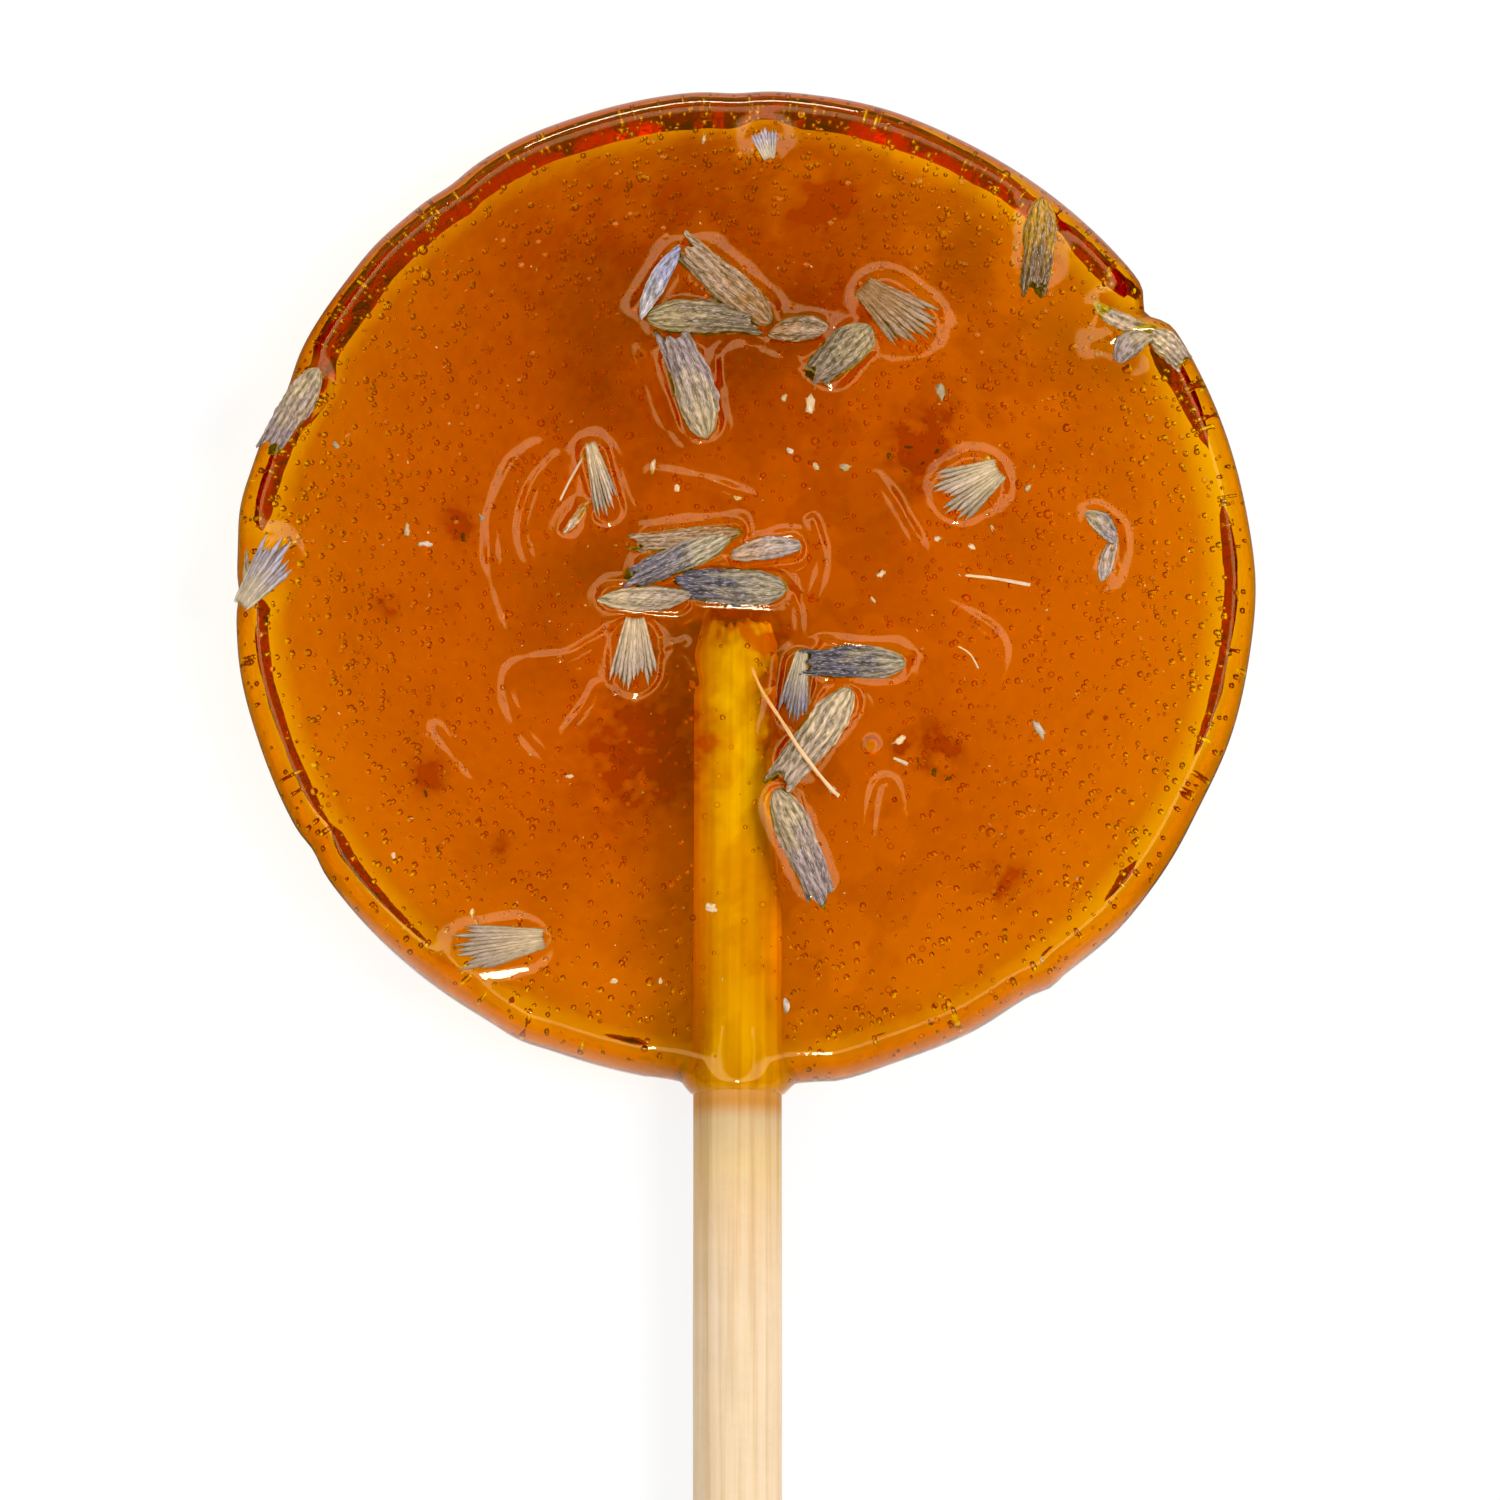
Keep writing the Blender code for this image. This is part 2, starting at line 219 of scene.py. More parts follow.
def wrinkleRise(x, y):
    rise = 0.0
    for curve, width, height in wrinkleCurves:
        reach = 3.0 * width
        if not min(p[0] for p in curve) - reach < x < max(p[0] for p in curve) + reach:
            continue
        if not min(p[1] for p in curve) - reach < y < max(p[1] for p in curve) + reach:
            continue
        gap, where = offCurve(x, y, curve)
        ends = smoothStep(where, -0.02, 0.15) * (1.0 - smoothStep(where, 0.85, 1.02))
        ends *= max(0.60, 0.95 + 0.6 * noise.noise(Vector((x, y, 70.0)) * 0.7))
        rise = max(rise, height * math.exp(-(gap / width) ** 2) * ends)
    for px, py, size in bubbles["placed"]:      # these lift the top a little
        gap = math.hypot(x - px, y - py) / (bubbles["liftWidth"] * size)
        rise = max(rise, bubbles["lift"] * size * math.exp(-gap * gap))
    return rise


# how the sugar wets a bud: it climbs its side, and stands round it as a shallow pool
pool = {"climb": 0.24, "climbWidth": 0.17, "rise": 0.07, "inner": 0.50, "outer": 0.74}


def poolRise(x, y):
    rise = 0.0
    for bx, by, heading, length, width, form, colour, bend in budList:
        dx, dy = x - bx, y - by
        if dx * dx + dy * dy > (0.5 * length + 1.5) ** 2:
            continue
        turn = math.radians(heading)
        along = dx * math.cos(turn) + dy * math.sin(turn)
        across = dy * math.cos(turn) - dx * math.sin(turn)
        half = min(0.48 * width, 0.45 * length)
        past = max(0.0, abs(along) - (0.5 * length - half))
        gap = max(0.0, math.hypot(past, across) - half)
        here = pool["climb"] * math.exp(-gap / pool["climbWidth"])
        gap += 0.28 * noise.noise(Vector((x, y, 50.0)) * 0.8)
        here += pool["rise"] * (1.0 - smoothStep(gap, pool["inner"], pool["outer"]))
        rise = max(rise, here)
    return rise


def topHeight(x, y):
    # the finished top under a point, without the pools round the buds
    angle = math.atan2(y, x)
    radius = min(math.hypot(x, y) - outlineShift(angle), sugar["radius"])
    height = domeHeight(radius)
    rounding = 1.0 - (sugar["radius"] - radius) / sugar["shoulderWidth"]
    if rounding > 0.0:
        height = (sugar["widestHeight"]
                  + (height - sugar["widestHeight"]) * math.sin(math.acos(rounding)))
    return height - creaseDepth(radius, angle)


def insetAt(angle):
    # how far in from the outline the sugar touches the table
    outward = Vector((math.cos(angle), math.sin(angle), 0.0))
    uneven = noise.noise(outward * 9.0) + 0.6 * noise.noise(outward * 24.0)
    return sugar["contactInset"] + sugar["insetNoise"] * uneven + waves(angle, footWaves)


def undercutPoint(inset, share):
    # the underside of the rim, from the table (0) to the widest place (1)
    widest = sugar["widestHeight"]
    knee = min(inset * math.tan(math.radians(sugar["undercutSlope"])), 0.98 * widest)
    return (sugar["radius"] - inset * (1.0 - share) ** 2,
            2.0 * knee * share * (1.0 - share) + widest * share * share)


def discSection():
    # half section, from the underside's middle round the rim to the top's middle
    outer = sugar["radius"]
    inset = sugar["contactInset"]
    contact = outer - inset
    corner = sugar["cornerWidth"]
    widest = sugar["widestHeight"]
    points = [(contact * step / sugar["underRings"], 0.0) for step in range(sugar["underRings"])]
    points += [(contact - corner, 0.0), (contact, 0.0), undercutPoint(inset, corner / inset)]
    for step in range(1, sugar["undercutRings"] + 1):
        points.append(undercutPoint(inset, step / sugar["undercutRings"]))
    for step in range(1, sugar["shoulderRings"] + 1):
        turn = 0.5 * math.pi * step / sugar["shoulderRings"]
        radius = outer - sugar["shoulderWidth"] * (1.0 - math.cos(turn))
        points.append((radius, widest + (domeHeight(radius) - widest) * math.sin(turn)))
    shoulderEnd = outer - sugar["shoulderWidth"]
    for step in range(1, sugar["domeRings"] + 1):
        share = step / sugar["domeRings"]
        share += sugar["ringCrowding"] * share * (1.0 - share)
        radius = shoulderEnd * (1.0 - share)
        points.append((radius, domeHeight(radius)))
    return points


def spunShape(points, steps):
    # turn a half section about +Z
    mesh = bmesh.new()
    verts = [mesh.verts.new((radius, 0.0, height)) for radius, height in points]
    edges = [mesh.edges.new(pair) for pair in zip(verts, verts[1:])]
    bmesh.ops.spin(mesh, geom=verts + edges, cent=(0, 0, 0), axis=(0, 0, 1),
                   angle=2.0 * math.pi, steps=steps, use_merge=True, use_duplicate=False)
    bmesh.ops.remove_doubles(mesh, verts=mesh.verts, dist=0.0005)
    bmesh.ops.recalc_face_normals(mesh, faces=mesh.faces)
    return mesh


def addTo(target, part):
    # put one bmesh into another, attributes included
    held = bpy.data.meshes.new("held")
    part.to_mesh(held)
    part.free()
    target.from_mesh(held)
    bpy.data.meshes.remove(held)


def turnMesh(mesh, angle, axis):
    # all of it, about the origin
    bmesh.ops.rotate(mesh, verts=mesh.verts, cent=(0, 0, 0), matrix=Matrix.Rotation(angle, 3, axis))


def finishPiece(name, mesh, material, sharp=None):
    # millimetres to metres, smooth shading, and onto the frame
    bmesh.ops.scale(mesh, verts=mesh.verts, vec=(mm, mm, mm))
    data = bpy.data.meshes.new(name)
    mesh.to_mesh(data)
    mesh.free()
    data.shade_smooth()
    if sharp:
        data.set_sharp_from_angle(angle=math.radians(sharp))
    data.materials.append(material)
    piece = bpy.data.objects.new(name, data)
    bpy.context.scene.collection.objects.link(piece)
    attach(piece, "root")
    return piece


def addNode(tree, kind, **settings):
    node = tree.nodes.new(kind)
    for name, value in settings.items():
        if hasattr(node, name):
            setattr(node, name, value)
        else:
            node.inputs[name].default_value = value
    return node


def feed(tree, socket, value):
    # a socket takes another socket or a plain number
    if isinstance(value, bpy.types.NodeSocket):
        tree.links.new(value, socket)
    else:
        socket.default_value = value


def mathNode(tree, operation, first, second=0.0):
    node = addNode(tree, "ShaderNodeMath", operation=operation)
    feed(tree, node.inputs[0], first)
    feed(tree, node.inputs[1], second)
    return node.outputs[0]


def rangeNode(tree, value, start, end, low=0.0, high=1.0):
    node = tree.nodes.new("ShaderNodeMapRange")
    for name, given in (("Value", value), ("From Min", start), ("From Max", end),
                        ("To Min", low), ("To Max", high)):
        feed(tree, node.inputs[name], given)
    return node.outputs["Result"]


def mottleGroup():
    # fine uneven tone of dry plant stuff: a colour that is darkened and lightened, and a height
    group = bpy.data.node_groups.new("dryMottle", "ShaderNodeTree")
    face = group.interface
    for name, kind in (("Colour", "Color"), ("Where", "Vector"), ("Grain", "Float"),
                       ("Depth", "Float"), ("Hairs", "Float"), ("Hair colour", "Color")):
        face.new_socket(name, in_out="INPUT", socket_type="NodeSocket" + kind)
    face.new_socket("Colour", in_out="OUTPUT", socket_type="NodeSocketColor")
    face.new_socket("Height", in_out="OUTPUT", socket_type="NodeSocketFloat")
    start = group.nodes.new("NodeGroupInput").outputs
    end = group.nodes.new("NodeGroupOutput")
    fine = addNode(group, "ShaderNodeTexNoise", Detail=6.0, Roughness=0.78)
    group.links.new(start["Where"], fine.inputs["Vector"])
    group.links.new(start["Grain"], fine.inputs["Scale"])
    less = mathNode(group, "SUBTRACT", 1.0, start["Depth"])
    more = mathNode(group, "ADD", 1.0, start["Depth"])
    tint = addNode(group, "ShaderNodeVectorMath", operation="SCALE")
    group.links.new(start["Colour"], tint.inputs[0])
    group.links.new(rangeNode(group, fine.outputs["Fac"], 0.32, 0.68, less, more), tint.inputs["Scale"])
    down = addNode(group, "ShaderNodeTexNoise", Detail=3.0, Roughness=0.6)
    group.links.new(start["Where"], down.inputs["Vector"])
    group.links.new(mathNode(group, "MULTIPLY", start["Grain"], 1.7), down.inputs["Scale"])
    woolly = addNode(group, "ShaderNodeMix", data_type="RGBA")
    hairy = rangeNode(group, down.outputs["Fac"], 0.53, 0.64, 0.0, start["Hairs"])
    group.links.new(hairy, woolly.inputs["Factor"])
    group.links.new(tint.outputs[0], woolly.inputs["A"])
    group.links.new(start["Hair colour"], woolly.inputs["B"])
    group.links.new(woolly.outputs["Result"], end.inputs["Colour"])
    group.links.new(fine.outputs["Fac"], end.inputs["Height"])
    return group


dryMottle = mottleGroup()


def newMaterial(name, **settings):
    material = bpy.data.materials.new(name)
    material.use_nodes = True
    shader = material.node_tree.nodes["Principled BSDF"]
    for socket, value in settings.items():
        shader.inputs[socket.replace("_", " ")].default_value = value
    return material, material.node_tree, shader


def useMottle(tree, shader, source, where, grain, depth, bumpHeight, hairs=0.0):
    mottle = tree.nodes.new("ShaderNodeGroup")
    mottle.node_tree = dryMottle
    tree.links.new(where, mottle.inputs["Where"])
    mottle.inputs["Grain"].default_value = grain
    mottle.inputs["Depth"].default_value = depth
    mottle.inputs["Hairs"].default_value = hairs
    mottle.inputs["Hair colour"].default_value = (0.62, 0.49, 0.43, 1)
    tree.links.new(source, mottle.inputs["Colour"])
    tree.links.new(mottle.outputs["Colour"], shader.inputs["Base Color"])
    relief = addNode(tree, "ShaderNodeBump", Strength=1.0, Distance=bumpHeight)
    tree.links.new(mottle.outputs["Height"], relief.inputs["Height"])
    tree.links.new(relief.outputs["Normal"], shader.inputs["Normal"])


# the sugar's skin, and the finest bubbles just under it, with heights in metres
skin = {
    "roughness": (0.005, 0.045),
    "filmScale": 700.0,
    "filmHeight": 0.000012,
    "fizzScale": 1400.0,
    "fizzSizes": (0.45, 1.15),
    "fizzRingShade": (0.48, 0.16, 0.05),
    "fizzHeight": 0.00003,
}


def sugarMaterial():
    # clear glass-like sugar: the colour is what it absorbs on the way through
    material, tree, shader = newMaterial(
        "amberSugar", Transmission_Weight=1.0, IOR=1.5, Metallic=0.0)
    shader.inputs["Specular Tint"].default_value = (1.0, 0.75, 0.5, 1)
    own = addNode(tree, "ShaderNodeAttribute", attribute_name="tone")
    tone = tree.nodes.new("ShaderNodeValToRGB")
    tone.color_ramp.elements[0].color = (*sugar["palest"], 1)
    tone.color_ramp.elements[1].color = (*sugar["darkestTint"], 1)
    tree.links.new(own.outputs["Fac"], tone.inputs[0])
    spot = tree.nodes.new("ShaderNodeTexCoord")
    film = addNode(tree, "ShaderNodeTexNoise", Scale=skin["filmScale"], Detail=3.0, Roughness=0.55)
    tree.links.new(spot.outputs["Object"], film.inputs["Vector"])
    rough = rangeNode(tree, film.outputs["Fac"], 0.0, 1.0, *skin["roughness"])
    tree.links.new(rough, shader.inputs["Roughness"])
    # the finest bubbles, of uneven size, painted into the tint: a ring of painted shade round a pale middle
    cells = addNode(tree, "ShaderNodeTexVoronoi", Scale=skin["fizzScale"])
    tree.links.new(spot.outputs["Object"], cells.inputs["Vector"])
    lots = tree.nodes.new("ShaderNodeSeparateColor")
    tree.links.new(cells.outputs["Color"], lots.inputs[0])
    crowd = addNode(tree, "ShaderNodeAttribute", attribute_name="fizz")
    shown = mathNode(tree, "LESS_THAN", lots.outputs["Red"], crowd.outputs["Fac"])
    size = rangeNode(tree, lots.outputs["Green"], 0.0, 1.0, *skin["fizzSizes"])
    gap = mathNode(tree, "DIVIDE", cells.outputs["Distance"], size)
    rings = tree.nodes.new("ShaderNodeValToRGB")
    rings.color_ramp.elements[0].position = 0.12
    rings.color_ramp.elements[0].color = (1, 1, 1, 1)
    rings.color_ramp.elements[1].position = 0.17
    rings.color_ramp.elements[1].color = (*skin["fizzRingShade"], 1)
    tree.links.new(gap, rings.inputs[0])
    ringed = addNode(tree, "ShaderNodeMix", data_type="RGBA")
    within = mathNode(tree, "MULTIPLY", shown, rangeNode(tree, gap, 0.21, 0.25, 1.0, 0.0))
    tree.links.new(within, ringed.inputs["Factor"])
    tree.links.new(tone.outputs["Color"], ringed.inputs["A"])
    tree.links.new(rings.outputs["Color"], ringed.inputs["B"])
    tree.links.new(ringed.outputs["Result"], shader.inputs["Base Color"])
    relief = addNode(tree, "ShaderNodeBump", Strength=1.0, Distance=skin["filmHeight"])
    tree.links.new(film.outputs["Fac"], relief.inputs["Height"])
    blister = addNode(tree, "ShaderNodeBump", Strength=1.0, Distance=skin["fizzHeight"])
    dome = mathNode(tree, "MULTIPLY", rangeNode(tree, gap, 0.02, 0.24, 1.0, 0.0), shown)
    tree.links.new(dome, blister.inputs["Height"])
    tree.links.new(relief.outputs["Normal"], blister.inputs["Normal"])
    tree.links.new(blister.outputs["Normal"], shader.inputs["Normal"])
    out = tree.nodes["Material Output"]
    path = tree.nodes.new("ShaderNodeLightPath")
    through = tree.nodes.new("ShaderNodeBsdfTransparent")
    mix = tree.nodes.new("ShaderNodeMixShader")
    tree.links.new(path.outputs["Is Shadow Ray"], mix.inputs[0])
    tree.links.new(shader.outputs[0], mix.inputs[1])
    tree.links.new(through.outputs[0], mix.inputs[2])
    tree.links.new(mix.outputs[0], out.inputs["Surface"])
    most = 1.02 * max(sugar["absorbed"])
    soak = tree.nodes.new("ShaderNodeVolumeAbsorption")
    soak.inputs["Color"].default_value = [1.0 - lost / most for lost in sugar["absorbed"]] + [1.0]
    soak.inputs["Density"].default_value = most / mm
    tree.links.new(soak.outputs[0], out.inputs["Volume"])
    return material


def dryMaterial(name, grain, depth, bumpHeight, hairs):
    # dried petals and sepals, coloured by their own attribute, with fibres along their length
    material, tree, shader = newMaterial(name, Roughness=0.85, Metallic=0.0)
    shader.inputs["Specular IOR Level"].default_value = 0.25
    own = addNode(tree, "ShaderNodeAttribute", attribute_name="tint")
    fibre = addNode(tree, "ShaderNodeAttribute", attribute_name="fibre")
    useMottle(tree, shader, own.outputs["Color"], fibre.outputs["Vector"], grain, depth, bumpHeight, hairs)
    return material


stick = {
    "radius": 2.18,
    "length": 114.3,
    "x": -0.3,
    "height": 2.85,
    "innerEnd": -1.6,
    "sides": 96,
    "rings": 240,
    "chamfer": 0.25,
    "groove": 0.035,
    "lump": 0.02,
    "raggedEnd": 1.1,           # how unevenly the end in the sugar is broken off
    "taper": 0.24,
    "paintedLightSides": 1.45,         # by how much, in the sugar
    "palerFrom": (-23.0, -19.0),        # y where that begins, and where it is full
    "stainAndLight": [                 # y and the wood's colour there: dry towards -Y, a syrup stain where it leaves the sugar, and painted light making it paler further in
        (-40.0, (0.62, 0.49, 0.51)), (-36.5, (0.62, 0.49, 0.51)), (-31.5, (0.59, 0.43, 0.39)),
        (-29.0, (0.56, 0.41, 0.31)), (-27.0, (0.48, 0.34, 0.28)), (-26.2, (0.43, 0.18, 0.05)),
        (-23.5, (0.54, 0.30, 0.20)), (-19.5, (0.54, 0.27, 0.20)), (-14.4, (0.68, 0.45, 0.30)),
        (-9.4, (0.80, 0.74, 0.46)), (-2.0, (0.90, 0.98, 0.70)),
    ],
}


def bambooMaterial():
    material, tree, shader = newMaterial("bamboo", Roughness=0.6, Metallic=0.0)
    spot = tree.nodes.new("ShaderNodeTexCoord")
    stretch = tree.nodes.new("ShaderNodeMapping")
    stretch.inputs["Scale"].default_value = (1.0, 0.018, 1.0)
    tree.links.new(spot.outputs["Object"], stretch.inputs["Vector"])
    fibre = addNode(tree, "ShaderNodeTexNoise", Scale=2600.0, Detail=3.0, Roughness=0.6)
    tree.links.new(stretch.outputs[0], fibre.inputs["Vector"])
    ramp = tree.nodes.new("ShaderNodeValToRGB")
    ramp.color_ramp.elements[0].position = 0.28
    ramp.color_ramp.elements[0].color = (0.66, 0.55, 0.30, 1)
    ramp.color_ramp.elements[1].position = 0.50
    ramp.color_ramp.elements[1].color = (0.80, 0.74, 0.45, 1)
    ramp.color_ramp.elements.new(0.74).color = (0.86, 0.84, 0.58, 1)
    tree.links.new(fibre.outputs["Fac"], ramp.inputs[0])
    apart = tree.nodes.new("ShaderNodeSeparateXYZ")
    tree.links.new(spot.outputs["Object"], apart.inputs[0])
    stainAndLight = tree.nodes.new("ShaderNodeValToRGB")
    driest = stick["stainAndLight"][0][0]
    for index, (y, colour) in enumerate(stick["stainAndLight"]):
        edges = stainAndLight.color_ramp.elements
        edge = edges[0] if index == 0 else edges.new(1.0 - y / driest)
        edge.color = (*colour, 1)
    stainAndLight.color_ramp.elements.remove(stainAndLight.color_ramp.elements[-1])
    tree.links.new(rangeNode(tree, apart.outputs["Y"], driest * mm, 0.0), stainAndLight.inputs[0])
    both = addNode(tree, "ShaderNodeVectorMath", operation="MULTIPLY")
    tree.links.new(ramp.outputs["Color"], both.inputs[0])
    tree.links.new(stainAndLight.outputs["Color"], both.inputs[1])
    # painted light: its sides are painted paler where it lies in the sugar
    aside = mathNode(tree, "SUBTRACT", apart.outputs["X"], stick["x"] * mm)
    aside = mathNode(tree, "ABSOLUTE", aside)
    aside = rangeNode(tree, aside, 0.5 * stick["radius"] * mm, stick["radius"] * mm)
    sunk = rangeNode(tree, apart.outputs["Y"], *[y * mm for y in stick["palerFrom"]])
    aside = mathNode(tree, "MULTIPLY", aside, sunk)
    paler = addNode(tree, "ShaderNodeVectorMath", operation="SCALE")
    tree.links.new(both.outputs[0], paler.inputs[0])
    tree.links.new(rangeNode(tree, aside, 0.0, 1.0, 1.0, stick["paintedLightSides"]), paler.inputs["Scale"])
    useMottle(tree, shader, paler.outputs[0], spot.outputs["Object"], 500.0, 0.05, 0.00003)
    return material


amberSugar = sugarMaterial()
driedFlower = dryMaterial("driedFlower", 1.0, 0.75, 0.00014, 0.60)
driedBits = dryMaterial("driedBits", 1.0, 0.35, 0.00004, 0.3)
bamboo = bambooMaterial()
print("materials made")


# what the caramel tone and the shade painted into it are made up of: these are added up, and "times"
# multiplies the sum
tones = {
    "base": 0.17,
    "middle": 0.05,             # more in the middle, less near the rim, and painted shade at its very edge
    "rim": -0.12,
    "edge": 0.12,
    "farEdge": 0.80,            # and this much more painted shade at the edge away from the stick
    "patches": 1.6,
    "flecks": 1.9,              # how much the patches break up
    "clouds": 0.14,
    "cloudEdges": 0.30,
    "grain": 0.14,
    "times": 1.25,
}

# more or less of it at an angle: angle and half width in degrees, depth
toneAround = [(110, 38, 0.50), (345, 38, -0.36)]

# and in patches: x, y, half width, depth; the patch at -4.9, -9.0 is a painted shadow of the stick
tonePatches = [
    (8.6, 6.2, 1.6, 0.65), (10.0, 6.9, 1.0, 0.35), (9.3, -9.0, 1.3, 0.60), (7.9, -8.6, 0.7, 0.45),
    (-4.9, -9.0, 2.8, 0.60), (3.9, 19.0, 1.5, 0.30), (-14.0, 2.6, 0.8, 0.45), (12.9, -15.3, 1.0, 0.4),
    (-17.6, -1.5, 0.6, 0.45), (-15.6, -10.1, 0.9, 0.35), (-12.0, -13.5, 0.6, 0.3), (4.8, 13.0, 1.8, 0.30),
    (-0.3, -1.7, 1.5, 0.55), (1.6, -3.6, 0.9, 0.50), (1.5, -6.0, 0.9, 0.50), (1.6, -8.5, 0.9, 0.45),
    (1.8, -11.0, 0.8, 0.35),
]


def sugarTone(x, y):
    # 0 for the palest sugar, 1 or more for the most caramel and the deepest painted shade
    radius = math.hypot(x, y)
    tone = tones["base"] + waves(math.atan2(y, x), toneAround) * smoothStep(radius, 2.0, 14.0)
    tone += tones["middle"] * (1.0 - smoothStep(radius, 6.0, 20.0))
    tone += tones["rim"] * smoothStep(radius, 18.5, 23.0)
    # painted shade along the outline, deepest at the far rim
    edge = tones["edge"] + tones["farEdge"] * smoothStep(y, 4.0, 20.0)
    tone += edge * smoothStep(radius, 24.4, 25.2)
    fleck = noise.noise(Vector((x, y, 11.0)) * 0.9) + 0.7 * noise.noise(Vector((x, y, 17.0)) * 2.3)
    fleck = max(0.0, 1.1 + tones["flecks"] * fleck)
    for px, py, width, depth in tonePatches:
        gap = math.hypot(x - px, y - py) / width
        if gap < 3.0:
            tone += tones["patches"] * depth * math.exp(-gap * gap) * fleck
    cloud = noise.noise(Vector((x, y, 21.0)) / 3.2) + 0.5 * noise.noise(Vector((x, y, 33.0)) / 1.3)
    patchy = (smoothStep(cloud, -0.06, 0.06) - 0.5) * smoothStep(x, -16.0, 8.0)
    grain = noise.noise(Vector((x, y, 47.0)) * 2.8)
    tone += tones["cloudEdges"] * patchy + tones["clouds"] * cloud + tones["grain"] * grain
    return tones["times"] * max(0.0, tone)


# how thickly the finest bubbles lie under the top, 0 to 1
fizz = {"base": 0.16, "towardsRim": 0.42, "uneven": 0.6, "least": 0.05}


def fizzCrowd(x, y):
    crowd = fizz["base"] + fizz["towardsRim"] * smoothStep(math.hypot(x, y), 4.0, 20.0)
    crowd += fizz["uneven"] * noise.noise(Vector((x, y, 61.0)) / 3.0)
    return max(fizz["least"], crowd * (0.7 + 0.3 * smoothStep(y, -20.0, 15.0)))


def makeSugar():
    mesh = spunShape(discSection(), sugar["sides"])
    toneLayer = mesh.verts.layers.float.new("tone")
    fizzLayer = mesh.verts.layers.float.new("fizz")
    widest = sugar["widestHeight"]
    for vert in mesh.verts:
        if vert.co.z > widest - 0.001:
            vert[toneLayer] = sugarTone(vert.co.x, vert.co.y)
        if vert.co.z > widest + 1.5:
            vert[fizzLayer] = fizzCrowd(vert.co.x, vert.co.y)
        radius = math.hypot(vert.co.x, vert.co.y)
        angle = math.atan2(vert.co.y, vert.co.x)
        nearRim = smoothStep(radius, 0.4 * sugar["radius"], 0.92 * sugar["radius"])
        moved = radius + outlineShift(angle) * nearRim
        stretch = moved / radius if radius > 0.01 else 1.0
        x, y = vert.co.x * stretch, vert.co.y * stretch
        if vert.co.z < widest - 0.001:
            inset = insetAt(angle)
            contact = sugar["radius"] - sugar["contactInset"]
            if radius > contact - 0.001:
                share = 1.0 - math.sqrt(max(0.0, (sugar["radius"] - radius) / sugar["contactInset"]))
                under, vert.co.z = undercutPoint(inset, share)
            else:
                under = radius + (sugar["contactInset"] - inset) * radius / contact
            under += outlineShift(angle) * nearRim
            x, y = under * math.cos(angle), under * math.sin(angle)
        if vert.co.z > widest:
            above = min(1.0, (vert.co.z - widest) / (sugar["rimHeight"] - widest))
            vert.co.z -= creaseDepth(radius, angle) * above
            swell = noise.noise(Vector((x, y, 3.0)) / sugar["swellSize"])
            vert.co.z += above * (sugar["swell"] * swell + poolRise(x, y) + wrinkleRise(x, y))
        vert.co.x, vert.co.y = x, y
    return mesh


# the collar of sugar that climbs the stick: y and radius
collar = {
    "profile": [(-19.0, 0.0), (-19.0, 2.50), (-22.5, 2.62), (-24.4, 2.76), (-25.05, 2.78),
                (-25.35, 2.58), (-25.55, 2.40), (-25.8, 2.28), (-26.0, 2.22), (-26.0, 0.0)],
    "sides": 64,
    "softenFrom": -23.2,
    "softenHalfWidth": 4.6,
    "softenTimes": 8,
}


def addCollar(mesh):
    ring = spunShape([(radius, y) for y, radius in reversed(collar["profile"])], collar["sides"])
    turnMesh(ring, math.radians(-90.0), "X")
    bmesh.ops.translate(ring, verts=ring.verts, vec=(stick["x"], 0.0, stick["height"]))
    bmesh.ops.recalc_face_normals(ring, faces=ring.faces)
    pair = []
    for name, part in (("disc", mesh), ("collar", ring)):
        data = bpy.data.meshes.new(name)
        part.to_mesh(data)
        part.free()
        pair.append(bpy.data.objects.new(name, data))
        bpy.context.scene.collection.objects.link(pair[-1])
    union = pair[0].modifiers.new("union", "BOOLEAN")
    union.operation = "UNION"
    union.object = pair[1]
    union.solver = "EXACT"
    bpy.context.view_layer.update()
    joined = pair[0].evaluated_get(bpy.context.evaluated_depsgraph_get())
    mesh = bmesh.new()
    mesh.from_mesh(joined.to_mesh())
    joined.to_mesh_clear()
    for old in pair:
        data = old.data
        bpy.data.objects.remove(old)
        bpy.data.meshes.remove(data)
    bmesh.ops.triangulate(mesh, faces=[face for face in mesh.faces if len(face.verts) > 4])
    soft = [vert for vert in mesh.verts
            if vert.co.y < collar["softenFrom"] and vert.co.z > 0.01
            and abs(vert.co.x - stick["x"]) < collar["softenHalfWidth"]]
    for _ in range(collar["softenTimes"]):
        bmesh.ops.smooth_vert(mesh, verts=soft, factor=0.5,
                              use_axis_x=True, use_axis_y=True, use_axis_z=True)
    return mesh


# air bubbles: small hollows in the sugar, with few faces each
bubbles = {
    "seed": 7,
    "small": (800, 0.05, 0.07),         # how many, least and largest radius
    "medium": (4300, 0.09, 0.20),
    "large": (26, 0.20, 0.30),
    "placed": [(6.3, -8.6, 0.48), (6.5, -10.1, 0.16), (-4.0, -19.2, 0.2), (12.2, -12.9, 0.26)],
    "lift": 0.5,                        # how far those lift the top, and how wide, by their radius
    "liftWidth": 0.9,
}


def hollowBalls(spots, subdivisions):
    # small closed shells that face inwards, a hundred at a time
    mesh = bmesh.new()
    for start in range(0, len(spots), 100):
        part = bmesh.new()
        for x, y, z, size in spots[start:start + 100]:
            place = Matrix.Translation((x, y, z))
            if subdivisions:
                bmesh.ops.create_icosphere(part, subdivisions=subdivisions, radius=size, matrix=place)
            else:
                bmesh.ops.create_uvsphere(part, u_segments=4, v_segments=2, radius=size, matrix=place)
        bmesh.ops.reverse_faces(part, faces=part.faces)
        addTo(mesh, part)
    return mesh


